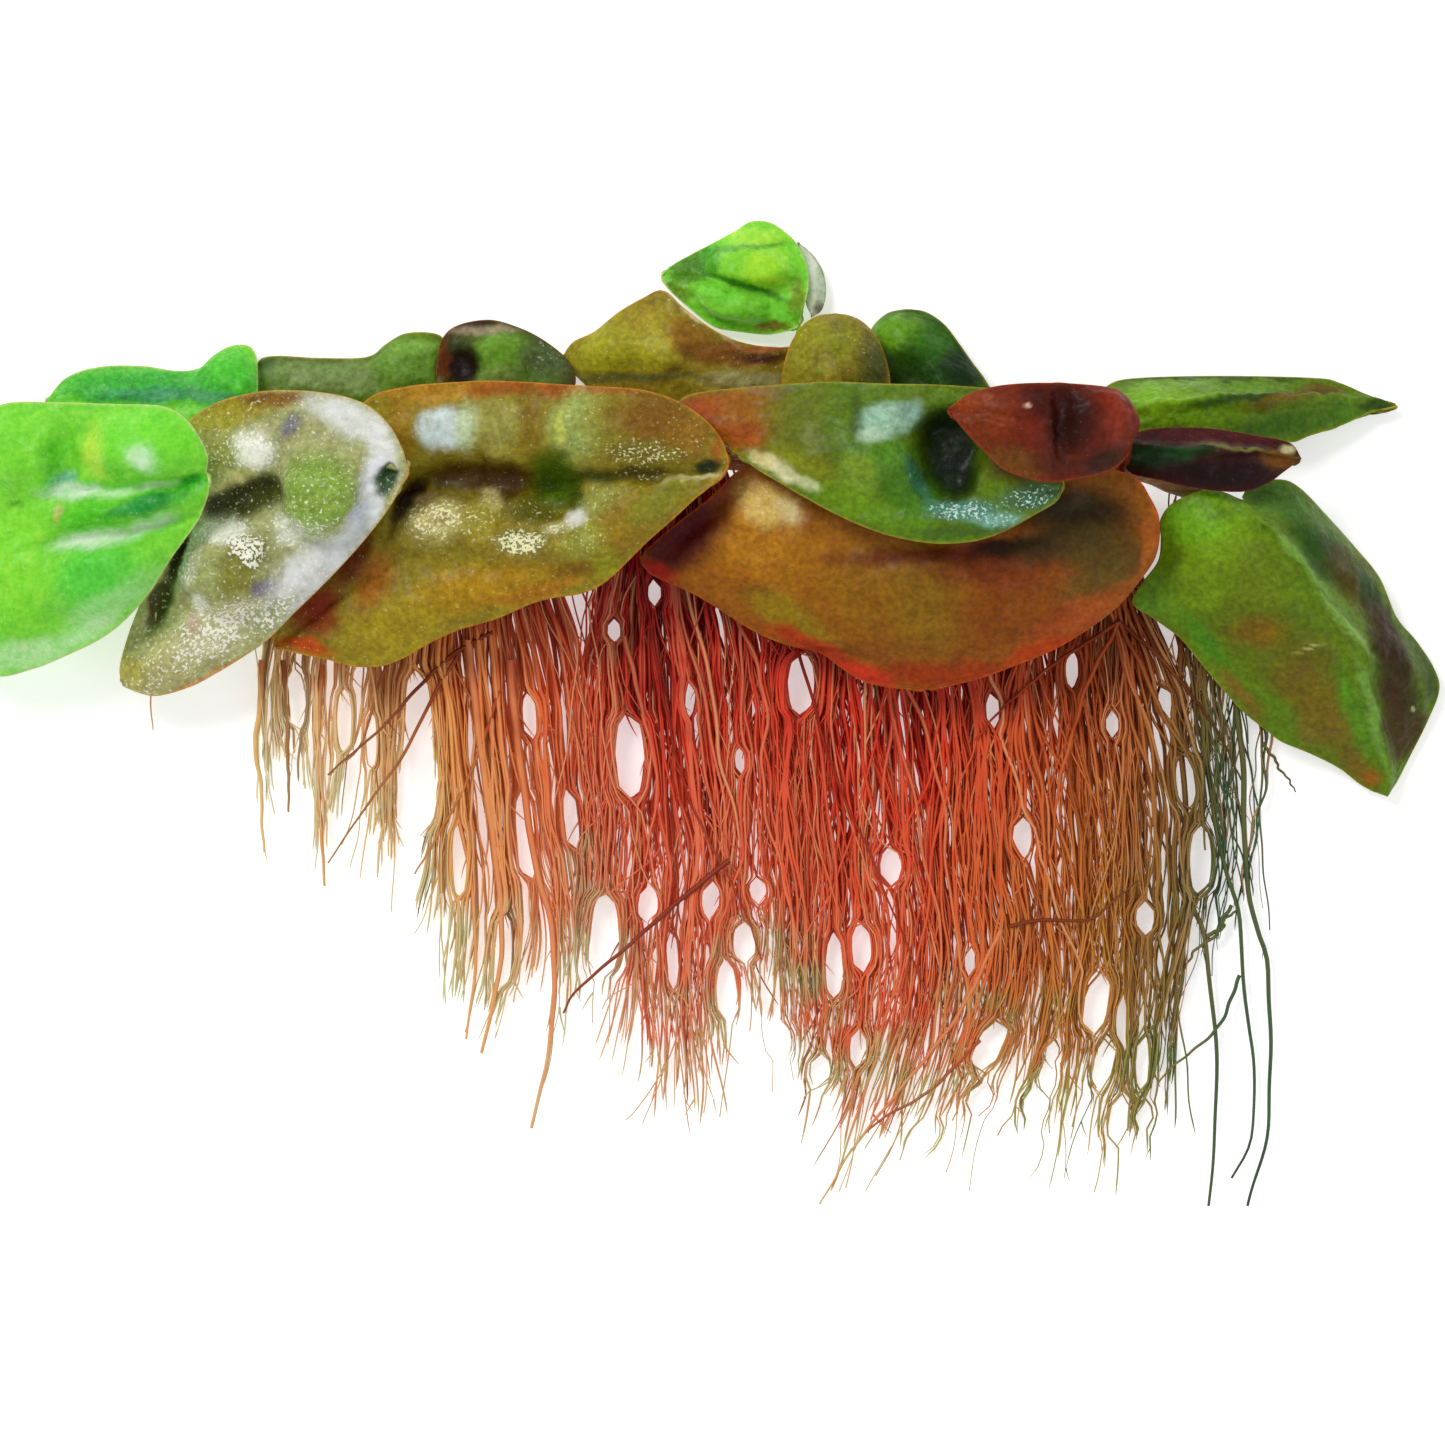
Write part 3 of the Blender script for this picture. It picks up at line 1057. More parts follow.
BACK_LEAVES = (
    Leaf(
        "leaf_back_1", LIME, base=(257, 414, 1.9), tip=(44, 404, 0.5),
        midrib=((160, 404, 1.3),),
        left=((220, 455, 1.4), (120, 450, 0.8)),
        right=(
            (259, 385, 1.4), (257, 358, 0.8), (249, 346, 0.5), (231, 346, 0.4), (213, 356, 0.5),
            (200, 368, 0.5), (178, 371, 0.4), (142, 366, 0.3), (99, 367, 0.3), (66, 378, 0.3),
        ),
        petiole=((258, 428, 2.7),),
        swellings=(Swelling(234, 374, 28, 24, 0, 0.7), Swelling(130, 386, 62, 15, 0, 0.3)),
        stains=(
            Stain(150, 385, 110, 22, 0, "#4ABC44"), Stain(236, 374, 26, 28, 0, "#57CE38"),
            Stain(130, 370, 64, 5, 0, "#72D250", 0.8), Stain(170, 396, 80, 8, 0, "#4E9C80", 0.7),
        ),
        rows=72, columns=48,
    ),
    Leaf(
        "leaf_back_2", GREEN, base=(420, 416, 1.5), tip=(262, 406, 0.4),
        midrib=((342, 404, 0.9),),
        left=((382, 452, 1.1), (305, 446, 0.8)),
        right=(
            (442, 392, 1.0), (448, 360, 0.5), (441, 336, 0.35), (408, 333, 0.35), (386, 344, 0.3),
            (367, 357, 0.3), (318, 358, 0.3), (276, 356, 0.3), (258, 362, 0.3), (256, 388, 0.3),
        ),
        petiole=((418, 434, 2.3),),
        swellings=(Swelling(408, 362, 32, 26, 0, 0.6), Swelling(315, 378, 46, 16, 0, 0.3)),
        stains=(
            Stain(320, 376, 70, 20, 0, "#84A05A"), Stain(408, 362, 34, 30, 0, "#76A83A"),
            Stain(264, 360, 13, 9, 0, "#4A6A30", 0.9), Stain(320, 358, 56, 3.2, 0, "#66783C", 0.8),
            Stain(420, 345, 22, 8, 0, "#8ABC48", 0.8),
        ),
        rows=72, columns=48,
    ),
    Leaf(
        "leaf_back_3", MAROON, base=(560, 416, 1.9), tip=(438, 402, 1.4),
        midrib=((500, 400, 1.9),),
        left=((532, 452, 1.7), (467, 446, 1.5)),
        right=(
            (575, 388, 1.5), (574, 370, 1.3), (563, 355, 1.1), (540, 338, 0.9), (517, 327, 0.6),
            (490, 320, 0.5), (459, 325, 0.5), (443, 338, 0.7), (438, 362, 1.1), (437, 384, 1.3),
        ),
        petiole=((568, 434, 2.6),),
        swellings=(Swelling(500, 356, 32, 22, 0, 0.6), Swelling(464, 368, 20, 20, 0, -0.5)),
        stains=(
            Stain(500, 370, 70, 40, 0, "#5E8024"), Stain(500, 352, 30, 22, 0, "#6CA020"),
            Stain(497, 374, 22, 8, 0, "#8CAC52", 0.9), Stain(545, 356, 22, 22, 0, "#586C3A", 0.9, 0.5),
            Stain(462, 366, 21, 24, 0, "#22100A", 1.0, 0.0, 2.4), Stain(444, 352, 6, 28, 0, "#7C3A10", 0.9),
            Stain(484, 330, 34, 5, 0, "#B8A888", 0.8),
        ),
        rows=64, columns=48,
    ),
    Leaf(
        "leaf_back_4", OLIVE, base=(765, 411, 1.8), tip=(560, 362, 0.4),
        midrib=((668, 372, 1.9),),
        left=((728, 426, 1.5), (638, 426, 0.8)),
        right=(
            (792, 385, 1.6), (796, 352, 1.8), (778, 348, 1.9), (762, 347, 1.9), (735, 341, 2.0),
            (708, 327, 2.0), (684, 309, 1.9), (663, 291, 1.5), (642, 299, 1.2), (618, 313, 0.9),
            (594, 332, 0.6), (572, 343, 0.4),
        ),
        petiole=((762, 432, 2.7),),
        swellings=(Swelling(612, 350, 34, 24, 20, 0.5), Swelling(662, 348, 26, 32, 0, 0.5)),
        stains=(
            Stain(612, 348, 50, 30, 20, "#AEAC1C"), Stain(657, 345, 20, 30, 0, "#BAB424", 0.9),
            Stain(640, 318, 24, 18, 20, "#A89820", 0.9), Stain(690, 338, 28, 16, -35, "#9C6C1A", 0.9),
            Stain(722, 356, 44, 12, -8, "#8A5818", 0.95), Stain(764, 357, 28, 7, 0, "#4C2008", 0.95),
            Stain(760, 348, 36, 3, 0, "#B4603A", 0.8), Stain(700, 320, 46, 2.6, -36, "#EADCA8", 0.9),
            Stain(750, 380, 50, 9, 0, "#A8A468", 0.9), Stain(640, 378, 70, 5, 0, "#5C6A3A", 0.7),
        ),
        rows=80, columns=56, rim_width=0.1,
    ),
    Leaf(
        "leaf_back_5", OLIVE, base=(847, 420, 2.7), tip=(836, 314, 1.6),
        midrib=((842, 370, 2.9),),
        left=((800, 410, 2.6), (782, 388, 2.6), (786, 356, 2.5), (799, 330, 2.2), (816, 317, 1.8)),
        right=((888, 410, 2.4), (890, 382, 2.2), (884, 354, 2.0), (873, 333, 1.9), (857, 319, 1.7)),
        petiole=((847, 434, 2.9),),
        swellings=(Swelling(834, 364, 46, 44, 0, 0.7),),
        stains=(
            Stain(808, 358, 24, 40, 0, "#9C9C1C", 0.9), Stain(838, 345, 20, 24, 0, "#88901A", 0.8),
            Stain(872, 370, 18, 36, 0, "#4C580C", 0.9), Stain(820, 388, 32, 9, 0, "#A2922A", 0.8),
            Stain(850, 395, 14, 18, 0, "#6A7012", 0.7),
        ),
        rows=56, columns=48,
    ),
    Leaf(
        "leaf_back_6", GREEN, base=(940, 418, 1.8), tip=(907, 309, 0.3),
        midrib=((927, 366, 1.4),),
        left=((880, 405, 0.9), (868, 370, 0.6), (869, 334, 0.4), (886, 314, 0.3)),
        right=(
            (992, 402, 1.2), (987, 383, 1.0), (972, 362, 0.7), (958, 342, 0.5), (944, 324, 0.4),
            (926, 312, 0.3),
        ),
        petiole=((940, 436, 2.6),),
        swellings=(Swelling(904, 342, 34, 26, -20, 0.7), Swelling(955, 378, 26, 22, -30, 0.3)),
        stains=(
            Stain(930, 360, 70, 60, 0, "#2C5C10"), Stain(898, 335, 28, 19, 0, "#6EAA14", 0.95),
            Stain(930, 343, 20, 16, -30, "#3E7C12", 0.9), Stain(962, 372, 18, 26, 20, "#102C0C", 0.9),
            Stain(915, 380, 30, 14, 0, "#284810", 0.9),
        ),
        rows=56, columns=48,
    ),
    Leaf(
        "leaf_young", LIME, base=(798, 326, 1.2), tip=(661, 277, 0.4),
        midrib=((742, 287, 1.1),),
        left=(
            (789, 331, 1.0), (768, 335, 0.8), (738, 332, 0.7), (714, 327, 0.6), (690, 309, 0.5),
            (671, 292, 0.4),
        ),
        right=(
            (806, 300, 1.2), (808, 272, 1.0), (798, 246, 0.7), (784, 231, 0.5), (768, 222, 0.4),
            (750, 222, 0.35), (735, 231, 0.3), (713, 243, 0.3), (690, 255, 0.3), (671, 266, 0.3),
        ),
        petiole=((796, 433, 2.5), (796, 401, 1.3)),
        swellings=(
            Swelling(752, 266, 40, 22, -6, 1.0, Pouch.CRISP),
            Swelling(730, 303, 36, 15, -20, 0.9, Pouch.CRISP), Swelling(757, 236, 30, 10, 0, 0.4),
        ),
        stains=(
            Stain(755, 264, 42, 24, -6, "#92E034"), Stain(768, 272, 20, 22, -30, "#B6F032", 0.95),
            Stain(757, 237, 30, 11, 0, "#BAF24A", 0.95), Stain(750, 247, 40, 3, 4, "#62A828", 0.8),
            Stain(690, 268, 22, 20, 20, "#588C18", 0.95), Stain(711, 259, 12, 14, 0, "#4EA820", 0.9),
            Stain(742, 286, 50, 4.5, -22, "#3A8212", 0.95), Stain(728, 303, 35, 15, -20, "#84DC3C", 0.95),
            Stain(797, 298, 9, 20, 0, "#849C20", 0.9), Stain(772, 327, 18, 6, 0, "#8C6A28", 0.9),
            Stain(680, 292, 14, 8, -40, "#6C8C24", 0.8),
        ),
        rows=72, columns=56, rim_width=0.09,
    ),
    Leaf(
        "stipule", MEMBRANE, base=(812, 318, 1.0), tip=(797, 242, 0.4),
        midrib=((815, 282, 0.8),),
        left=((805, 300, 0.9), (806, 272, 0.8)),
        right=((822, 310, 0.7), (826, 292, 0.6), (823, 272, 0.5), (812, 254, 0.4)),
        stains=(
            Stain(816, 280, 9, 34, 8, "#C6D6BA", 0.9), Stain(812, 268, 5, 22, 12, "#E8EEDC", 0.8),
            Stain(816, 312, 8, 7, 0, "#5A4A38", 0.8),
        ),
        rows=40, columns=20, thickness=0.12, rim_width=0.12, groove_depth=0.0,
    ),
)


# Stem


@dataclass(frozen=True)
class StemFinish:
    """Fleshy stem with a smooth skin, drawn out lengthwise as it grew.

    The eye gets a tan skin flushed red near the nodes, with fine lengthwise streaks.
    """

    slot: str = "stem_tissue"
    skin: str = "#B98A4E"
    flush: str = "#A8402A"
    pale: str = "#D8CDA6"

    def build(self) -> bpy.types.Material:
        """Build the stem material.

        Returns:
            The material, which reads object coordinates alone.
        """
        material = bpy.data.materials.new(self.slot)
        material.use_nodes = True
        tree = material.node_tree
        shader = tree.nodes["Principled BSDF"]
        place = add_node(tree, "ShaderNodeTexCoord").outputs["Object"]
        stretched = add_node(tree, "ShaderNodeMapping", {"Vector": place, "Scale": (0.18, 1.0, 1.0)})
        # Streaks 0.05 mm wide in life, drawn 0.1 mm
        streaks = add_node(
            tree,
            "ShaderNodeTexNoise",
            {"Vector": stretched.outputs["Vector"], "Scale": 9000.0, "Detail": 3.0},
        )
        patches = add_node(tree, "ShaderNodeTexNoise", {"Vector": place, "Scale": 420.0, "Detail": 2.0})
        patch_range = add_node(
            tree,
            "ShaderNodeMapRange",
            {"Value": patches.outputs["Fac"], "From Min": 0.42, "From Max": 0.62},
        )
        flushed = add_node(
            tree,
            "ShaderNodeMix",
            {0: patch_range.outputs["Result"], 6: linear(self.skin), 7: linear(self.flush)},
            {"data_type": "RGBA"},
        )
        streak_range = add_node(
            tree,
            "ShaderNodeMapRange",
            {"Value": streaks.outputs["Fac"], "From Min": 0.5, "From Max": 0.75, "To Max": 0.8},
        )
        streaked = add_node(
            tree,
            "ShaderNodeMix",
            {0: streak_range.outputs["Result"], 6: flushed.outputs[2], 7: linear(self.pale)},
            {"data_type": "RGBA"},
        )
        bump = add_node(
            tree,
            "ShaderNodeBump",
            {"Height": streaks.outputs["Fac"], "Strength": 0.4, "Distance": 0.0001},
        )
        tree.links.new(streaked.outputs[2], shader.inputs["Base Color"])
        tree.links.new(bump.outputs["Normal"], shader.inputs["Normal"])
        shader.inputs["Roughness"].default_value = 0.4
        shader.inputs["IOR"].default_value = 1.42
        shader.inputs["Coat Weight"].default_value = 0.2
        return material


@dataclass(frozen=True)
class Stem:
    """The stem, swollen where leaves and roots leave it."""

    node: str = "stem"
    path: tuple = (
        (122, 438, 2.9), (270, 451, 3.0), (432, 458, 2.8), (595, 458, 3.0), (762, 456, 3.0),
        (905, 461, 3.0), (1032, 463, 3.0), (1122, 468, 3.0), (1177, 486, 2.8), (1205, 493, 2.6),
    )
    radius: float = 0.6
    swelling: float = 0.2
    node_spacing: float = 6.5
    rings: int = 240
    sides: int = 28
    finish: StemFinish = StemFinish()

    def build(self) -> bpy.types.Object:
        """Build the stem as a closed tube with rounded ends.

        Returns:
            The finished piece.
        """
        path = smooth_line(np.array([on_sheet(*point) for point in self.path]), self.rings)
        wave = np.cos(2 * math.pi * (path[:, 0] - path[30, 0]) / self.node_spacing)
        radii = self.radius - self.swelling * (0.5 - 0.5 * np.sign(wave) * np.abs(wave) ** 0.6)
        from_end = np.minimum(np.arange(self.rings + 1), self.rings - np.arange(self.rings + 1))
        radii *= np.sqrt(1 - (1 - np.clip(from_end / 4, 0.05, 1)) ** 2)
        vertices, faces = tube(path, radii, self.sides)
        bumps = [noise.noise(Vector(vertex) * 1.4) * 0.07 for vertex in vertices]
        centres = np.repeat(path, self.sides, axis=0)
        vertices = vertices + (vertices - centres) * np.array(bumps)[:, None] / self.radius
        mesh = bpy.data.meshes.new(self.node)
        mesh.from_pydata((vertices * MM).tolist(), [], faces)
        mesh.materials.append(FINISHES.material(self.finish))
        mesh.shade_smooth()
        piece = add_piece(self.node + ".tube", mesh)
        declare(piece, self.node)
        return piece


# Roots


@dataclass(frozen=True)
class RootFinish:
    """Living root of the floater, a thin thread with a clear skin over a red core.

    The eye gets crimson near the stem, orange further out and a pale or grey tip, with
    darker and paler threads among the others.
    """

    slot: str
    zones: tuple = (0.0, 0.2, 0.34, 0.66, 0.84, 0.95)
    base: tuple = ("#D07838", "#C8481E", "#AC1418", "#B81812", "#A4441C", "#6A3A1C")
    body: tuple = ("#F0C47C", "#F89A50", "#EE5238", "#E84028", "#DA7438", "#6A6C38")
    low: tuple = ("#F4E4B0", "#F8B86C", "#F8805A", "#F0683C", "#D0903C", "#4A6440")
    tip: tuple = ("#EEEEC8", "#DCD8A0", "#CFD09C", "#C0C078", "#A0AC54", "#34503A")
    dark: str = "#6A2616"
    pale: str = "#F6B47E"

    def ramp(
        self,
        tree: bpy.types.NodeTree,
        zone: bpy.types.NodeSocket,
        colours: tuple,
    ) -> bpy.types.NodeSocket:
        """Add a colour ramp over the tufts from left to right.

        Args:
            tree: The material's tree.
            zone: Where a thread lies, from 0 at the left tuft to 1 at the right.
            colours: A hex colour for each of the zones.

        Returns:
            The ramp's colour output.
        """
        node = add_node(tree, "ShaderNodeValToRGB", {"Fac": zone})
        elements = node.color_ramp.elements
        for number, (place, colour) in enumerate(zip(self.zones, colours)):
            element = elements[number] if number < 2 else elements.new(place)
            element.position = place
            element.color = linear(colour)
        return node.outputs["Color"]

    def build(self) -> bpy.types.Material:
        """Build the root material.

        Returns:
            The material, which reads the threads' zone, reach and chance attributes.
        """
        material = bpy.data.materials.new(self.slot)
        material.use_nodes = True
        tree = material.node_tree
        shader = tree.nodes["Principled BSDF"]
        zone, reach, chance = (
            add_node(tree, "ShaderNodeAttribute", settings={"attribute_name": name}).outputs["Fac"]
            for name in ("zone", "reach", "chance")
        )
        place = add_node(tree, "ShaderNodeTexCoord").outputs["Object"]
        # Patches where the core shows through more or less, about 2 mm long
        patches = add_node(tree, "ShaderNodeTexNoise", {"Vector": place, "Scale": 600.0, "Detail": 3.0})
        uneven = add_node(
            tree,
            "ShaderNodeMapRange",
            {
                "Value": patches.outputs["Fac"],
                "From Min": 0.3,
                "From Max": 0.7,
                "To Min": -0.1,
                "To Max": 0.1,
            },
        )
        shifted = add_node(
            tree,
            "ShaderNodeMath",
            {0: reach, 1: uneven.outputs["Result"]},
            {"operation": "ADD"},
        )
        colour = self.ramp(tree, zone, self.base)
        for start, end, colours in ((0.2, 0.42, self.body), (0.42, 0.7, self.low), (0.74, 0.98, self.tip)):
            share = add_node(
                tree,
                "ShaderNodeMapRange",
                {"Value": shifted.outputs[0], "From Min": start, "From Max": end},
            )
            mixed = add_node(
                tree,
                "ShaderNodeMix",
                {0: share.outputs["Result"], 6: colour, 7: self.ramp(tree, zone, colours)},
                {"data_type": "RGBA"},
            )
            colour = mixed.outputs[2]
        for low, high, strength, tone, kind in (
            (0.22, 0.04, 0.6, self.dark, "MULTIPLY"),
            (0.22, 0.0, 0.5, self.dark, "MIX"),
            (0.55, 0.92, 0.7, self.pale, "MIX"),
        ):
            share = add_node(
                tree,
                "ShaderNodeMapRange",
                {"Value": chance, "From Min": low, "From Max": high, "To Max": strength},
            )
            mixed = add_node(
                tree,
                "ShaderNodeMix",
                {0: share.outputs["Result"], 6: colour, 7: linear(tone)},
                {"data_type": "RGBA", "blend_type": kind},
            )
            colour = mixed.outputs[2]
        # Skin cells 0.04 mm across in life, drawn 0.1 mm
        cells = add_node(tree, "ShaderNodeTexNoise", {"Vector": place, "Scale": 9000.0, "Detail": 2.0})
        bump = add_node(
            tree,
            "ShaderNodeBump",
            {"Height": cells.outputs["Fac"], "Strength": 0.3, "Distance": 0.00004},
        )
        tree.links.new(colour, shader.inputs["Base Color"])
        tree.links.new(bump.outputs["Normal"], shader.inputs["Normal"])
        shader.inputs["Roughness"].default_value = 0.32
        shader.inputs["IOR"].default_value = 1.4
        shader.inputs["Specular IOR Level"].default_value = 0.3
        return material


@dataclass(frozen=True)
class Opening:
    """A place where the threads part, leaving a slit down to the surface."""

    u: float
    v: float
    half_width: float
    half_height: float
    lean: float = 0.0


@dataclass(frozen=True)
class Thread:
    """One root placed by hand: its route on the sheet, girth, shade and height."""

    route: tuple
    girth: float
    chance: float
    height: float = 0.9


OPENINGS = (
    Opening(630, 757, 15, 46), Opening(525, 835, 9, 46), Opening(530, 716, 8, 24),
    Opening(419, 750, 15, 86), Opening(655, 593, 8, 15), Opening(614, 630, 8, 14),
    Opening(801, 684, 14, 34), Opening(993, 710, 8, 21), Opening(1072, 670, 8, 20),
    Opening(890, 867, 11, 20), Opening(1022, 836, 10, 21), Opening(1112, 724, 8, 16),
    Opening(744, 941, 11, 21), Opening(1145, 918, 10, 17), Opening(1096, 1003, 12, 31, -0.25),
    Opening(1121, 1025, 5, 29), Opening(989, 1046, 14, 26, -0.5), Opening(1052, 1052, 7, 10),
    Opening(1046, 1079, 8, 15), Opening(1104, 1063, 10, 27, -0.3), Opening(1142, 1063, 7, 31),
    Opening(1119, 1118, 10, 25, -0.2), Opening(1145, 1115, 8, 13), Opening(1027, 1156, 10, 19, -0.3),
    Opening(1008, 1137, 7, 15), Opening(1033, 1101, 9, 13), Opening(978, 1099, 10, 12),
    Opening(927, 1137, 11, 15, -0.4), Opening(970, 961, 6, 15), Opening(860, 948, 12, 26),
    Opening(710, 899, 9, 19), Opening(759, 890, 8, 13), Opening(726, 989, 10, 31), Opening(834, 966, 9, 37),
    Opening(820, 1071, 10, 17), Opening(858, 1048, 9, 21), Opening(780, 1041, 10, 19),
    Opening(648, 904, 9, 16), Opening(673, 963, 6, 31), Opening(605, 935, 14, 44), Opening(296, 700, 8, 30),
    Opening(345, 720, 8, 34), Opening(372, 740, 6, 30), Opening(460, 860, 8, 40), Opening(504, 950, 9, 40),
    Opening(571, 820, 7, 30), Opening(690, 700, 6, 18), Opening(740, 760, 6, 16),
    Opening(1185, 780, 10, 30), Opening(1200, 860, 12, 36), Opening(1165, 700, 7, 16),
)


@dataclass(frozen=True)
class RootTuft:
    """The roots that leave the stem at one node and cling together in locks.

    The guides are the routes of neighbouring locks on the sheet, from left to right, each
    running from the stem to a tip.
    """

    node: str
    finish: RootFinish
    seed: int
    guides: tuple
    locks: int
    strands: int
    lock_width: float
    girth: float
    wobble: float = 1.0
    stray: float = 0.25
    threads: tuple = ()
    reach_least: float = 0.8
    hairs: int = 60
    cross_share: float = 0.4
    cross_reach: float = 3.0
    tip_spread: float = 20.0
    steps: int = 60
    sides: int = 4
    rootlet_share: float = 0.012
    rootlet_length: float = 1.1
    # How far above a guide's first point the thread leaves the middle of the stem
    rise: float = 22.0
    # Sheet rows, and the lowest and highest root at each, in millimetres
    rows: tuple = (464, 486, 541, 603, 716, 900, 1060, 1210)
    lowest: tuple = (2.5, 1.8, 0.8, 0.12, 0.08, 0.07, 0.06, 0.06)
    highest: tuple = (3.1, 2.8, 2.2, 1.9, 1.6, 1.1, 0.6, 0.3)

    def guide_lines(self) -> np.ndarray:
        """Space points evenly along every guide.

        Returns:
            The points in u and v, one guide a row, with a third number that is 0.
        """
        lines = []
        for guide in self.guides:
            points = np.array([(u, v, 0.0) for u, v in guide], float)
            points[0, 1] -= self.rise
            lines.append(smooth_line(points, 100))
        return np.array(lines)

    def follow(self, lines: np.ndarray, choice: np.ndarray, share: np.ndarray) -> np.ndarray:
        """Return the route of a thread among the guides.

        Args:
            lines: The guides' points.
            choice: Which guide the thread is at, at each step, between whole numbers too.
            share: How far along the guide each step is, from 0 to 1.

        Returns:
            A position in u and v for each step.
        """
        choice = np.clip(choice, 0, len(lines) - 1)
        left = np.minimum(choice.astype(int), len(lines) - 2)
        blend = (choice - left)[:, None]
        place = share * 100
        lower = np.minimum(place.astype(int), 99)
        part = (place - lower)[:, None]
        on_left = lines[left, lower] * (1 - part) + lines[left, lower + 1] * part
        on_right = lines[left + 1, lower] * (1 - part) + lines[left + 1, lower + 1] * part
        return (on_left * (1 - blend) + on_right * blend)[:, :2]

    def part(self, route: np.ndarray) -> np.ndarray:
        """Push a thread aside from the openings.

        Args:
            route: Its positions in u and v.

        Returns:
            The positions with u changed where an opening is.
        """
        route = route.copy()
        for opening in OPENINGS:
            rise = (route[:, 1] - opening.v) / opening.half_height
            inside = np.abs(rise) < 1
            if not inside.any():
                continue
            offset = route[:, 0] - opening.u - opening.lean * (route[:, 1] - opening.v)
            nearest = np.argmin(np.abs(rise))
            side = 1.0 if offset[nearest] >= 0 else -1.0
            limit = 2.4 * opening.half_width
            if abs(offset[nearest]) > limit:
                continue
            width = opening.half_width * np.clip(1 - rise**2, 0, 1) ** 0.4
            away = np.clip(side * offset, 0, limit)
            pushed = side * (width + away * (1 - width / limit))
            change = np.where(inside & (side * offset < limit), pushed - offset, 0.0)
            fade = np.clip((1 - np.abs(rise)) * 6, 0, 1)
            route[:, 0] += change * fade
        return route

    def raise_up(self, route: np.ndarray, height: np.ndarray) -> np.ndarray:
        """Place a thread at a share of the tuft's height.

        Args:
            route: Its positions in u and v.
            height: The share at each position, from 0 at the lowest root to 1.

        Returns:
            Its points in millimetres.
        """
        low = np.interp(route[:, 1], self.rows, self.lowest)
        high = np.interp(route[:, 1], self.rows, self.highest)
        x = (route[:, 0] - SHEET_ORIGIN_U) * SHEET_STEP_MM
        y = (SHEET_ORIGIN_V - route[:, 1]) * SHEET_STEP_MM
        return np.stack([x, y, low + (high - low) * height], axis=1)

    def waves(self, random: np.random.Generator, share: np.ndarray) -> np.ndarray:
        """Make the sideways waves of one thread.

        Args:
            random: The tuft's random numbers.
            share: How far along the thread each step is.

        Returns:
            An offset in u for each step.
        """
        slow = np.sin(2 * math.pi * (share * random.uniform(1.2, 2.6) + random.uniform()))
        quick = np.sin(2 * math.pi * (share * random.uniform(4.0, 8.0) + random.uniform()))
        return self.wobble * (3.2 * random.normal() * slow * np.sin(math.pi * share) + 0.9 * quick)

    def grow(self) -> list:
        """Lay out the threads.

        Returns:
            For each thread its points, girths, reach, chance and zone.
        """
        random = np.random.default_rng(self.seed)
        lines = self.guide_lines()
        last = len(lines) - 1
        found = []
        for lock in range(self.locks):
            centre = last * (lock + 0.5 + random.uniform(-0.35, 0.35)) / self.locks
            drift = random.normal() * self.stray
            lock_end = random.uniform(self.reach_least, 1.0)
            lock_height = random.uniform(0.0, 1.0)
            beats = random.uniform(1.0, 2.4)
            phase = random.uniform()
            lock_chance = random.uniform()
            bend = self.waves(random, np.linspace(0, 1, self.steps + 1)) * 1.2
            for strand in range(self.strands):
                end = lock_end * random.uniform(0.86, 1.0)
                share = np.linspace(0, end, self.steps + 1)
                scaled = share / end
                stray = drift + random.normal() * self.stray * 0.4
                if random.uniform() < self.cross_share:
                    stray = self.cross_reach * random.normal()
                choice = centre + stray * (share - 0.2) + random.normal() * 0.12 * (1 - share)
                route = self.follow(lines, choice, share)
                route[:, 0] += self.tip_spread * random.normal() * np.clip(share - 0.62, 0, 1) / 0.38
                pinch = 0.62 + 0.38 * np.sin(2 * math.pi * (share * beats + phase))
                taper = np.clip((1 - scaled) / 0.55, 0, 1) ** 0.8
                spread = self.lock_width * random.uniform(-1, 1) * pinch * taper
                spread = spread * np.clip(share * 5 + 0.3, 0, 1)
                route[:, 0] += spread + bend + self.waves(random, scaled) * (1 - 0.6 * scaled)
                route = self.part(route)
                height = lock_height + random.normal() * 0.22 + 0.1 * np.sin(9 * share + strand)
                height = np.clip(height, 0, 1)
                girth = self.girth * random.uniform(0.55, 1.3) * (1.05 - 0.62 * scaled**1.3)
                girth[-1] *= 0.3
                chance = np.clip(0.45 * lock_chance + 0.55 * random.uniform(), 0, 1)
                found.append((self.raise_up(route, height), girth, scaled * lock_end, chance, route[:, 0]))
        for _ in range(self.hairs):
            share = np.linspace(0, random.uniform(0.6, 1.0), self.steps + 1)
            choice = random.uniform(-0.2, last + 0.2) + self.cross_reach * random.normal() * (share - 0.3)
            route = self.follow(lines, choice, share)
            route[:, 0] += 2.0 * self.waves(random, share) + 10.0 * random.normal()
            route = self.part(route)
            height = np.full(self.steps + 1, random.uniform(0.5, 1.0))
            girth = self.girth * random.uniform(0.35, 0.6) * (1.0 - 0.4 * share)
            chance = random.uniform(0.3, 1.0)
            found.append((self.raise_up(route, height), girth, share, chance, route[:, 0]))
        for thread in self.threads:
            points = np.array([(u, v, 0.0) for u, v in thread.route], float)
            line = smooth_line(points, self.steps)[:, :2]
            share = np.linspace(0, 1, self.steps + 1)
            line[:, 0] += 0.5 * self.waves(random, share)
            girth = thread.girth * (1.0 - 0.6 * share**1.4)
            height = np.full(self.steps + 1, thread.height)
            reach = np.clip((line[:, 1] - 470) / 760, 0, 1)
            found.append((self.raise_up(line, height), girth, reach, thread.chance, line[:, 0]))
        return found

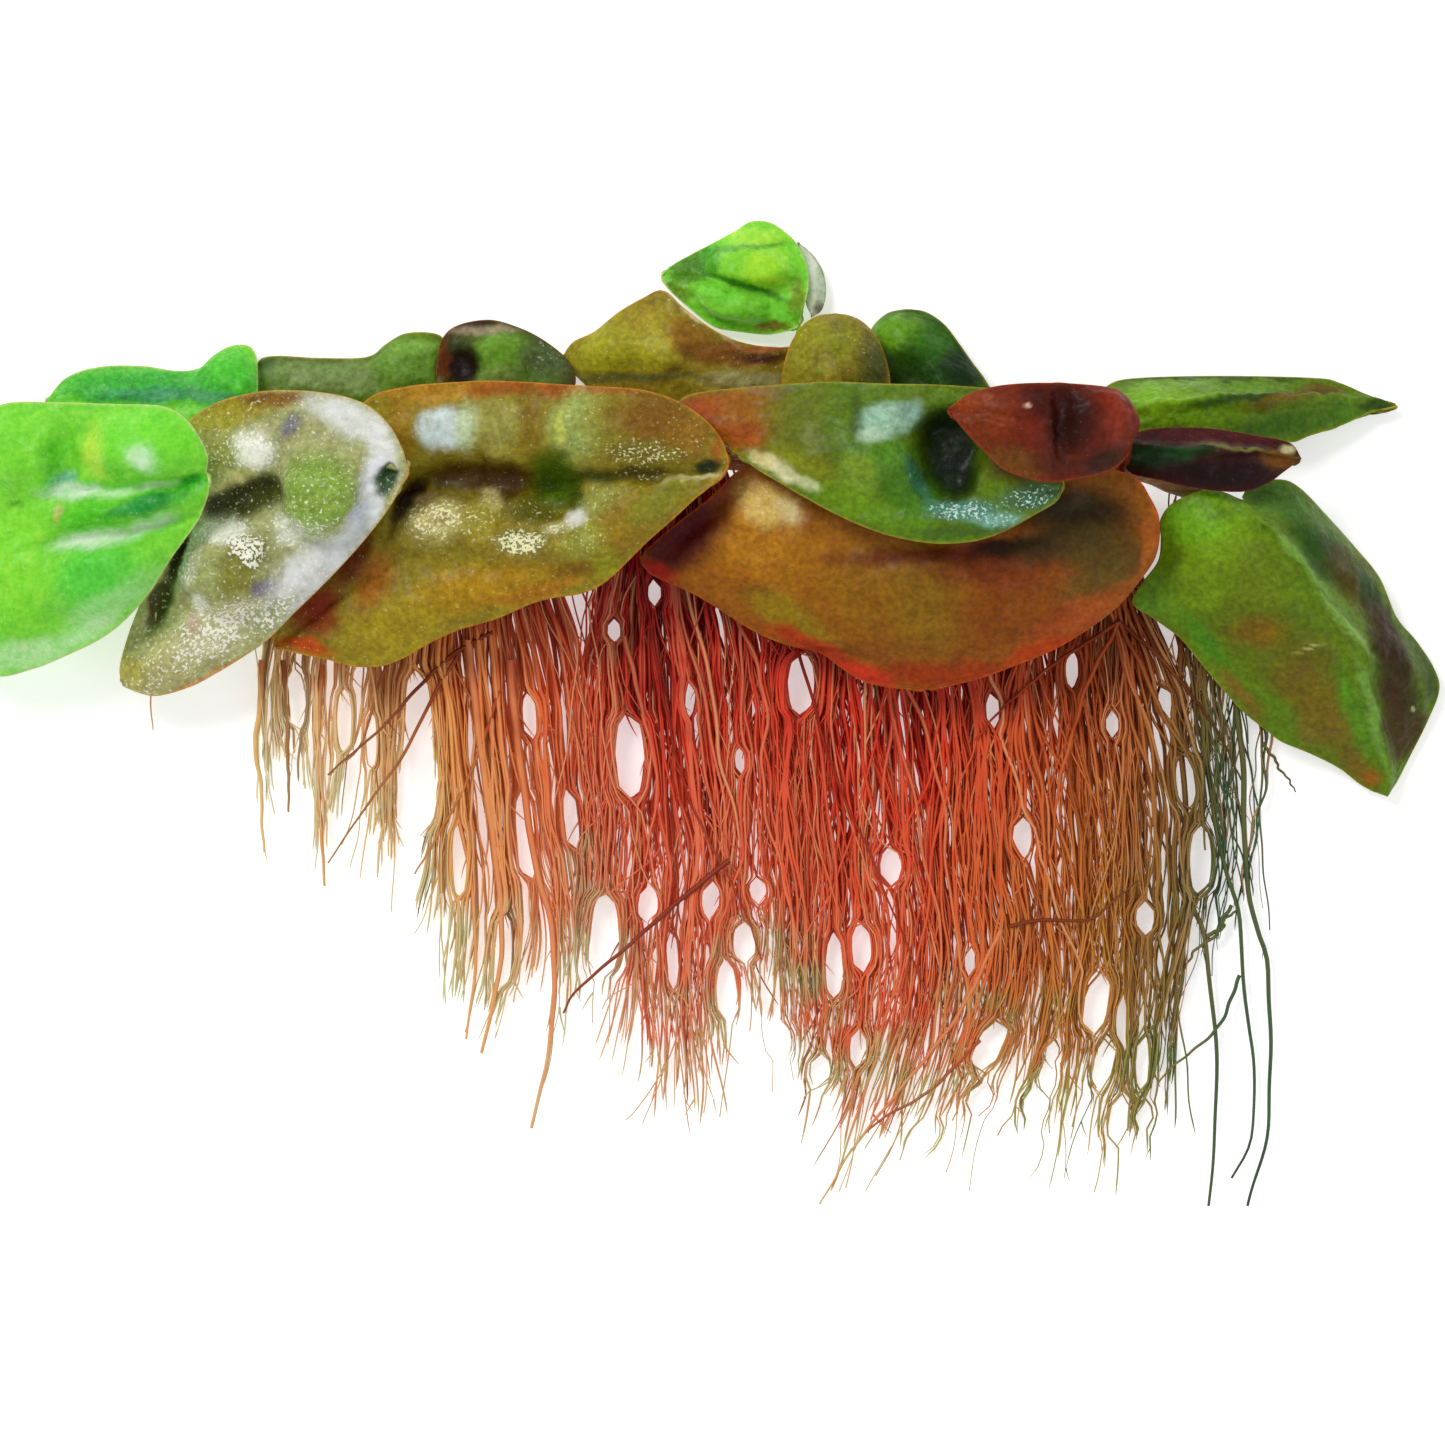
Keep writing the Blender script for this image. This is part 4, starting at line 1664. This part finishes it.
    def skeleton(self) -> bpy.types.Mesh:
        """Draw the threads' centrelines.

        Returns:
            A mesh of edges with the girth, reach, chance and zone of each point.
        """
        found = self.grow()
        size = self.steps + 1
        points = np.vstack([entry[0] for entry in found]) * MM
        edges = []
        for number in range(len(found)):
            start = number * size
            edges += [(start + step, start + step + 1) for step in range(self.steps)]
        mesh = bpy.data.meshes.new(self.node)
        mesh.from_pydata(points.tolist(), edges, [])
        columns = {
            "girth": np.concatenate([entry[1] for entry in found]) * MM,
            "reach": np.concatenate([entry[2] for entry in found]),
            "chance": np.repeat([entry[3] for entry in found], size),
            "zone": np.clip((np.concatenate([entry[4] for entry in found]) - 255) / 1015, 0, 1),
        }
        for name, values in columns.items():
            attribute = mesh.attributes.new(name, "FLOAT", "POINT")
            attribute.data.foreach_set("value", values.astype(np.float32))
        return mesh

    def build(self) -> bpy.types.Object:
        """Build the tuft as one mesh of round threads and side rootlets.

        Returns:
            The finished piece.
        """
        guide = add_piece(self.node + ".guide", self.skeleton())
        tree = thread_tree()
        modifier = guide.modifiers.new("threads", "NODES")
        modifier.node_group = tree
        settings = {
            "Sides": self.sides,
            "Girth scale": 1.0,
            "Rootlet share": self.rootlet_share,
            "Rootlet length": self.rootlet_length * MM,
            "Seed": self.seed,
            "Finish": FINISHES.material(self.finish),
        }
        for item in tree.interface.items_tree:
            if item.item_type == "SOCKET" and item.in_out == "INPUT" and item.name in settings:
                modifier[item.identifier] = settings[item.name]
        guide.update_tag()
        bpy.context.view_layer.update()
        evaluated = guide.evaluated_get(bpy.context.evaluated_depsgraph_get())
        mesh = bpy.data.meshes.new_from_object(evaluated)
        mesh.name = self.node
        bpy.data.objects.remove(guide)
        piece = add_piece(self.node + ".threads", mesh)
        declare(piece, self.node)
        return piece


def thread_tree() -> bpy.types.NodeTree:
    """Build the tree that sweeps threads along a mesh of edges and adds side rootlets.

    Returns:
        The geometry tree, built once and then shared.
    """
    name = "root_threads"
    if name in bpy.data.node_groups:
        return bpy.data.node_groups[name]
    tree = bpy.data.node_groups.new(name, "GeometryNodeTree")
    for label, kind in (
        ("Geometry", "Geometry"),
        ("Sides", "Int"),
        ("Girth scale", "Float"),
        ("Rootlet share", "Float"),
        ("Rootlet length", "Float"),
        ("Seed", "Int"),
        ("Finish", "Material"),
    ):
        tree.interface.new_socket(label, in_out="INPUT", socket_type="NodeSocket" + kind)
    tree.interface.new_socket("Geometry", in_out="OUTPUT", socket_type="NodeSocketGeometry")
    given = add_node(tree, "NodeGroupInput").outputs
    girth = add_node(tree, "GeometryNodeInputNamedAttribute", {"Name": "girth"}, {"data_type": "FLOAT"})
    radius = add_node(
        tree,
        "ShaderNodeMath",
        {0: girth.outputs["Attribute"], 1: given["Girth scale"]},
        {"operation": "MULTIPLY"},
    )
    curves = add_node(tree, "GeometryNodeMeshToCurve", {"Mesh": given["Geometry"]})
    ring = add_node(
        tree,
        "GeometryNodeCurvePrimitiveCircle",
        {"Resolution": given["Sides"], "Radius": 1.0},
        {"mode": "RADIUS"},
    )
    threads = add_node(
        tree,
        "GeometryNodeCurveToMesh",
        {
            "Curve": curves.outputs["Curve"],
            "Profile Curve": ring.outputs["Curve"],
            "Scale": radius.outputs[0],
            "Fill Caps": True,
        },
    )
    # Rootlets leave some of the points sideways, lying nearly flat
    picked = add_node(
        tree,
        "FunctionNodeRandomValue",
        {"Probability": given["Rootlet share"], "Seed": given["Seed"]},
        {"data_type": "BOOLEAN"},
    )
    reach = add_node(tree, "GeometryNodeInputNamedAttribute", {"Name": "reach"}, {"data_type": "FLOAT"})
    outer = add_node(
        tree,
        "ShaderNodeMath",
        {0: reach.outputs["Attribute"], 1: 0.3},
        {"operation": "GREATER_THAN"},
    )
    chosen = add_node(
        tree,
        "FunctionNodeBooleanMath",
        {0: picked.outputs[3], 1: outer.outputs[0]},
        {"operation": "AND"},
    )
    hook = add_node(
        tree,
        "GeometryNodeCurveQuadraticBezier",
        {"Resolution": 4, "Start": (0.0, 0.0, 0.0), "Middle": (0.1, -0.5, 0.0), "End": (0.34, -1.0, 0.0)},
    )
    place_on_hook = add_node(tree, "GeometryNodeSplineParameter")
    thin = add_node(
        tree,
        "ShaderNodeMapRange",
        {"Value": place_on_hook.outputs["Factor"], "To Min": 0.05, "To Max": 0.012},
    )
    small_ring = add_node(
        tree,
        "GeometryNodeCurvePrimitiveCircle",
        {"Resolution": 4, "Radius": 1.0},
        {"mode": "RADIUS"},
    )
    rootlet = add_node(
        tree,
        "GeometryNodeCurveToMesh",
        {
            "Curve": hook.outputs["Curve"],
            "Profile Curve": small_ring.outputs["Curve"],
            "Scale": thin.outputs["Result"],
            "Fill Caps": True,
        },
    )
    turn = add_node(
        tree,
        "FunctionNodeRandomValue",
        {0: (0.0, 0.0, -0.9), 1: (0.12, 0.0, 0.5), "Seed": given["Seed"]},
        {"data_type": "FLOAT_VECTOR"},
    )
    length = add_node(
        tree,
        "FunctionNodeRandomValue",
        {2: 0.4, 3: 1.0, "Seed": given["Seed"]},
        {"data_type": "FLOAT"},
    )
    scale = add_node(
        tree,
        "ShaderNodeMath",
        {0: length.outputs[1], 1: given["Rootlet length"]},
        {"operation": "MULTIPLY"},
    )
    points = add_node(
        tree,
        "GeometryNodeMeshToPoints",
        {"Mesh": given["Geometry"], "Selection": chosen.outputs[0]},
    )
    rootlets = add_node(
        tree,
        "GeometryNodeInstanceOnPoints",
        {
            "Points": points.outputs["Points"],
            "Instance": rootlet.outputs["Mesh"],
            "Rotation": turn.outputs[0],
            "Scale": scale.outputs[0],
        },
    )
    both = add_node(tree, "GeometryNodeJoinGeometry")
    tree.links.new(rootlets.outputs["Instances"], both.inputs[0])
    tree.links.new(threads.outputs["Mesh"], both.inputs[0])
    real = add_node(tree, "GeometryNodeRealizeInstances", {"Geometry": both.outputs["Geometry"]})
    smooth = add_node(tree, "GeometryNodeSetShadeSmooth", {"Geometry": real.outputs["Geometry"]})
    dressed = add_node(
        tree,
        "GeometryNodeSetMaterial",
        {"Geometry": smooth.outputs["Geometry"], "Material": given["Finish"]},
    )
    add_node(tree, "NodeGroupOutput", {"Geometry": dressed.outputs["Geometry"]})
    return tree


TUFTS = (
    RootTuft(
        "root_tuft_1", RootFinish("pale_root"), seed=11,
        guides=(
            ((318, 486), (284, 580), (262, 660), (257, 750), (265, 852)),
            ((330, 486), (300, 580), (282, 665), (287, 740), (289, 812)),
            ((343, 486), (325, 580), (318, 665), (316, 770), (325, 886)),
            ((356, 486), (350, 580), (352, 665), (346, 760), (330, 862)),
            ((366, 486), (378, 580), (384, 665), (391, 820), (381, 918)),
            ((373, 486), (393, 580), (402, 660), (398, 760), (386, 900)),
            ((376, 486), (404, 580), (416, 660), (416, 740), (408, 800)),
        ),
        locks=13, strands=9, lock_width=8.0, girth=0.085, wobble=0.6, hairs=30, cross_share=0.1,
        cross_reach=1.4, tip_spread=8.0, rise=28.0, highest=(3.1, 2.8, 1.9, 1.3, 1.0, 0.6, 0.4, 0.3),
        threads=(
            Thread(((284, 660), (288, 720), (289, 812)), 0.11, 0.1),
            Thread(((322, 665), (318, 760), (325, 886)), 0.13, 0.2),
            Thread(((262, 660), (258, 750), (265, 852)), 0.12, 0.6),
            Thread(((420, 600), (384, 672), (362, 742), (330, 775)), 0.08, 0.12),
            Thread(((196, 480), (170, 560), (154, 640), (151, 700), (153, 730)), 0.06, 0.7, 0.3),
        ),
    ),
    RootTuft(
        "root_tuft_2", RootFinish("orange_root"), seed=22,
        guides=(
            ((436, 486), (420, 590), (414, 665), (420, 780), (408, 850)),
            ((443, 486), (432, 590), (428, 665), (436, 800), (424, 900)),
            ((455, 486), (445, 590), (440, 665), (446, 850), (440, 1004)),
            ((470, 486), (462, 590), (466, 650), (488, 796), (500, 916), (482, 1053)),
            ((485, 486), (482, 590), (486, 665), (500, 800), (506, 920), (470, 1040)),
            ((500, 486), (505, 590), (511, 670), (532, 846), (553, 930), (550, 1056), (531, 1128)),
            ((512, 486), (530, 590), (546, 670), (558, 800), (572, 900), (566, 995)),
            ((522, 486), (560, 590), (582, 670), (596, 800), (600, 900), (584, 985)),
        ),
        locks=17, strands=11, lock_width=9.0, girth=0.085, wobble=0.8, hairs=40, cross_share=0.12,
        cross_reach=1.6, tip_spread=12.0,
        threads=(
            Thread(((468, 640), (488, 796), (501, 916), (499, 975), (482, 1053)), 0.17, 0.72, 1.0),
            Thread(
                ((510, 660), (531, 846), (551, 920), (556, 986), (548, 1056), (531, 1128)), 0.17, 0.66, 1.0,
            ),
            Thread(((493, 632), (451, 656), (422, 684), (391, 719), (328, 775)), 0.09, 0.05, 1.0),
            Thread(((458, 656), (426, 710), (394, 768), (328, 863)), 0.08, 0.1, 1.0),
            Thread(((500, 690), (479, 754), (450, 815), (415, 874)), 0.08, 0.15, 1.0),
            Thread(((440, 650), (446, 760), (470, 870), (476, 960), (466, 1039)), 0.12, 0.7, 0.8),
        ),
    ),
    RootTuft(
        "root_tuft_3", RootFinish("red_root"), seed=33,
        guides=(
            ((636, 486), (600, 590), (590, 680), (588, 800), (586, 900), (572, 985)),
            ((642, 486), (616, 590), (612, 680), (614, 800), (612, 930), (604, 1060)),
            ((650, 486), (636, 590), (636, 680), (650, 850), (646, 960), (652, 1050), (628, 1162)),
            ((672, 486), (668, 590), (680, 680), (692, 850), (684, 960), (690, 1080), (690, 1192)),
            ((695, 486), (706, 590), (716, 680), (724, 850), (720, 1000), (720, 1134)),
            ((712, 486), (738, 590), (748, 680), (750, 850), (752, 960), (756, 1085)),
            ((722, 486), (764, 590), (792, 700), (800, 850), (796, 960), (790, 1070)),
        ),
        locks=25, strands=11, lock_width=10.0, girth=0.075, wobble=1.15, stray=0.45,
        threads=(
            Thread(((729, 860), (680, 900), (630, 944), (579, 988), (563, 1013)), 0.11, 0.02, 1.1),
            Thread(((624, 636), (645, 713), (655, 790), (645, 866)), 0.1, 0.7, 1.0),
            Thread(((640, 560), (664, 700), (690, 800), (740, 900), (762, 960)), 0.07, 0.1, 1.1),
        ),
    ),
    RootTuft(
        "root_tuft_4", RootFinish("red_root"), seed=44,
        guides=(
            ((836, 486), (796, 590), (780, 700), (782, 850), (784, 950), (798, 1095)),
            ((840, 486), (816, 590), (806, 700), (808, 850), (812, 950), (812, 1120)),
            ((852, 486), (838, 590), (832, 700), (842, 850), (850, 980), (836, 1100), (812, 1202)),
            ((874, 486), (874, 590), (878, 700), (888, 850), (898, 980), (872, 1100), (840, 1204)),
            ((894, 486), (904, 590), (914, 700), (926, 850), (930, 980), (904, 1090), (866, 1190)),
            ((908, 486), (930, 590), (944, 700), (950, 850), (958, 960), (935, 1080), (896, 1160)),
            ((918, 486), (956, 590), (980, 700), (992, 850), (1000, 960), (976, 1080), (946, 1190)),
        ),
        locks=25, strands=11, lock_width=10.0, girth=0.075, wobble=1.35, stray=0.5,
        threads=(
            Thread(((1000, 930), (960, 1010), (900, 1090), (852, 1150), (820, 1204)), 0.09, 0.75, 1.0),
            Thread(((980, 1040), (930, 1090), (880, 1120), (850, 1150)), 0.08, 0.12, 1.0),
            Thread(((790, 620), (830, 760), (880, 880), (930, 1000)), 0.07, 0.1, 1.1),
        ),
    ),
    RootTuft(
        "root_tuft_5", RootFinish("brown_root"), seed=55,
        guides=(
            ((1030, 486), (990, 590), (970, 700), (974, 850), (996, 960), (972, 1060), (926, 1168)),
            ((1036, 486), (1008, 590), (998, 700), (1006, 850), (1022, 960), (1002, 1060), (970, 1190)),
            ((1050, 486), (1034, 590), (1026, 700), (1036, 850), (1046, 980), (1032, 1080), (1000, 1200)),
            ((1070, 486), (1072, 590), (1070, 700), (1078, 850), (1082, 980), (1070, 1080), (1054, 1206)),
            ((1084, 486), (1098, 590), (1100, 700), (1112, 850), (1112, 980), (1106, 1080), (1088, 1206)),
            ((1096, 486), (1118, 600), (1130, 700), (1144, 850), (1142, 980), (1138, 1080), (1118, 1200)),
            ((1108, 486), (1140, 600), (1178, 700), (1194, 850), (1176, 980), (1160, 1080), (1150, 1170)),
        ),
        locks=26, strands=10, lock_width=9.0, girth=0.08, wobble=1.4, stray=0.5,
        threads=(
            Thread(((1010, 926), (1041, 920), (1087, 919), (1117, 898), (1138, 880)), 0.08, 0.0, 1.1),
            Thread(((1118, 622), (1060, 660), (1010, 700), (975, 740)), 0.09, 0.15, 1.1),
            Thread(((1118, 622), (1085, 690), (1060, 780), (1050, 860)), 0.1, 0.3, 1.1),
            Thread(((1118, 622), (1150, 690), (1190, 760), (1205, 850)), 0.1, 0.2, 1.1),
            Thread(((1118, 622), (1160, 660), (1210, 720), (1240, 780)), 0.09, 0.1, 1.1),
        ),
    ),
    RootTuft(
        "root_tuft_6", RootFinish("grey_root"), seed=66,
        guides=(
            ((1182, 488), (1176, 590), (1182, 700), (1190, 800), (1180, 930), (1172, 1010)),
            ((1190, 490), (1192, 590), (1204, 700), (1212, 800), (1206, 900), (1196, 1000)),
            ((1200, 492), (1212, 590), (1230, 700), (1236, 790), (1240, 880), (1236, 960)),
            ((1212, 494), (1236, 600), (1262, 700), (1270, 790), (1262, 860), (1270, 930)),
        ),
        locks=10, strands=5, lock_width=6.0, girth=0.065, wobble=1.6, hairs=14, cross_reach=1.4, stray=0.5,
        reach_least=0.55, rise=4.0, highest=(2.9, 2.7, 1.8, 1.2, 0.9, 0.6, 0.45, 0.3),
        threads=(
            Thread(
                (
                    (1190, 500), (1180, 700), (1188, 883), (1206, 938), (1215, 1025), (1214, 1135),
                    (1208, 1206),
                ),
                0.14, 0.3,
            ),
            Thread(
                (
                    (1200, 500), (1204, 720), (1222, 860), (1238, 917), (1242, 979), (1250, 1025),
                    (1254, 1067), (1252, 1135), (1231, 1178),
                ),
                0.12, 0.3,
            ),
            Thread(
                (
                    (1210, 500), (1240, 740), (1246, 870), (1257, 929), (1268, 979), (1268, 1124),
                    (1247, 1206),
                ),
                0.14, 0.3,
            ),
            Thread(((1240, 975), (1215, 1030), (1165, 1073), (1156, 1094)), 0.08, 0.3, 1.0),
            Thread(((1232, 905), (1211, 937), (1186, 962), (1178, 985)), 0.08, 0.3, 1.0),
            Thread(((1206, 938), (1222, 925), (1238, 905)), 0.09, 0.3, 1.0),
            Thread(((1262, 742), (1278, 766), (1296, 792)), 0.07, 0.3, 1.0),
            Thread(((1214, 500), (1250, 640), (1262, 740), (1260, 830), (1270, 930)), 0.07, 0.4, 0.8),
        ),
    ),
)


# Studio


@dataclass(frozen=True)
class Studio:
    """A pale table lit softly from all round, and the camera looking straight down."""

    view_width: float = 57.8
    view_centre: tuple = (1.6, -0.26)
    camera_height: float = 0.9
    sensor: float = 36.0
    table_glow: float = 0.46
    sky: float = 0.46

    def table(self) -> None:
        """Lay the pale table top, which glows faintly like a light table."""
        mesh = bpy.data.meshes.new("table")
        half = 1.5
        corners = [(-half, -half, 0), (half, -half, 0), (half, half, 0), (-half, half, 0)]
        mesh.from_pydata(corners, [], [(0, 1, 2, 3)])
        material = bpy.data.materials.new("white_table")
        material.use_nodes = True
        shader = material.node_tree.nodes["Principled BSDF"]
        shader.inputs["Base Color"].default_value = linear("#F4F4F4")
        shader.inputs["Roughness"].default_value = 0.9
        shader.inputs["Specular IOR Level"].default_value = 0.1
        shader.inputs["Emission Color"].default_value = linear("#FFFFFF")
        shader.inputs["Emission Strength"].default_value = self.table_glow
        mesh.materials.append(material)
        add_piece("table", mesh)

    def lamp(self, name: str, place: tuple, size: float, power: float) -> None:
        """Hang a soft square lamp that faces the plant.

        Args:
            name: The lamp's name.
            place: Where it hangs, in metres.
            size: The length of its side in metres.
            power: Its power in watts.
        """
        light = bpy.data.lights.new(name, "AREA")
        light.shape = "SQUARE"
        light.size = size
        light.energy = power
        lamp = bpy.data.objects.new(name, light)
        lamp.location = place
        lamp.rotation_euler = (-Vector(place)).to_track_quat("-Z", "Y").to_euler()
        bpy.context.scene.collection.objects.link(lamp)

    def sky_light(self) -> None:
        """Surround the table with an even white glow."""
        world = bpy.data.worlds.new("soft_white")
        world.use_nodes = True
        glow = world.node_tree.nodes["Background"]
        glow.inputs["Color"].default_value = linear("#FFFFFF")
        glow.inputs["Strength"].default_value = self.sky
        bpy.context.scene.world = world

    def camera(self) -> None:
        """Set the camera over the plant, looking straight down."""
        data = bpy.data.cameras.new("camera")
        distance = self.camera_height * 1000
        data.sensor_width = self.sensor
        data.lens = self.sensor * distance / self.view_width
        data.clip_start = 0.01
        camera = bpy.data.objects.new("camera", data)
        camera.location = (self.view_centre[0] * MM, self.view_centre[1] * MM, self.camera_height)
        bpy.context.scene.collection.objects.link(camera)
        bpy.context.scene.camera = camera

    def build(self) -> None:
        """Set up the table, the lights and the camera."""
        self.table()
        self.sky_light()
        self.lamp("key_lamp", (-0.28, 0.34, 0.5), 0.22, 1.9)
        self.lamp("fill_lamp", (0.4, -0.25, 0.45), 0.35, 0.6)
        self.camera()
        bpy.context.scene.view_settings.view_transform = "Standard"


def main() -> None:
    """Build the plant and the studio."""
    logging.basicConfig(level=logging.INFO, format="%(message)s")
    Studio().build()
    Stem().build()
    for leaf in (*LEAVES, *SIDE_LEAVES, *BACK_LEAVES):
        leaf.build()
    for tuft in TUFTS:
        tuft.build()


if __name__ == "__main__":
    main()
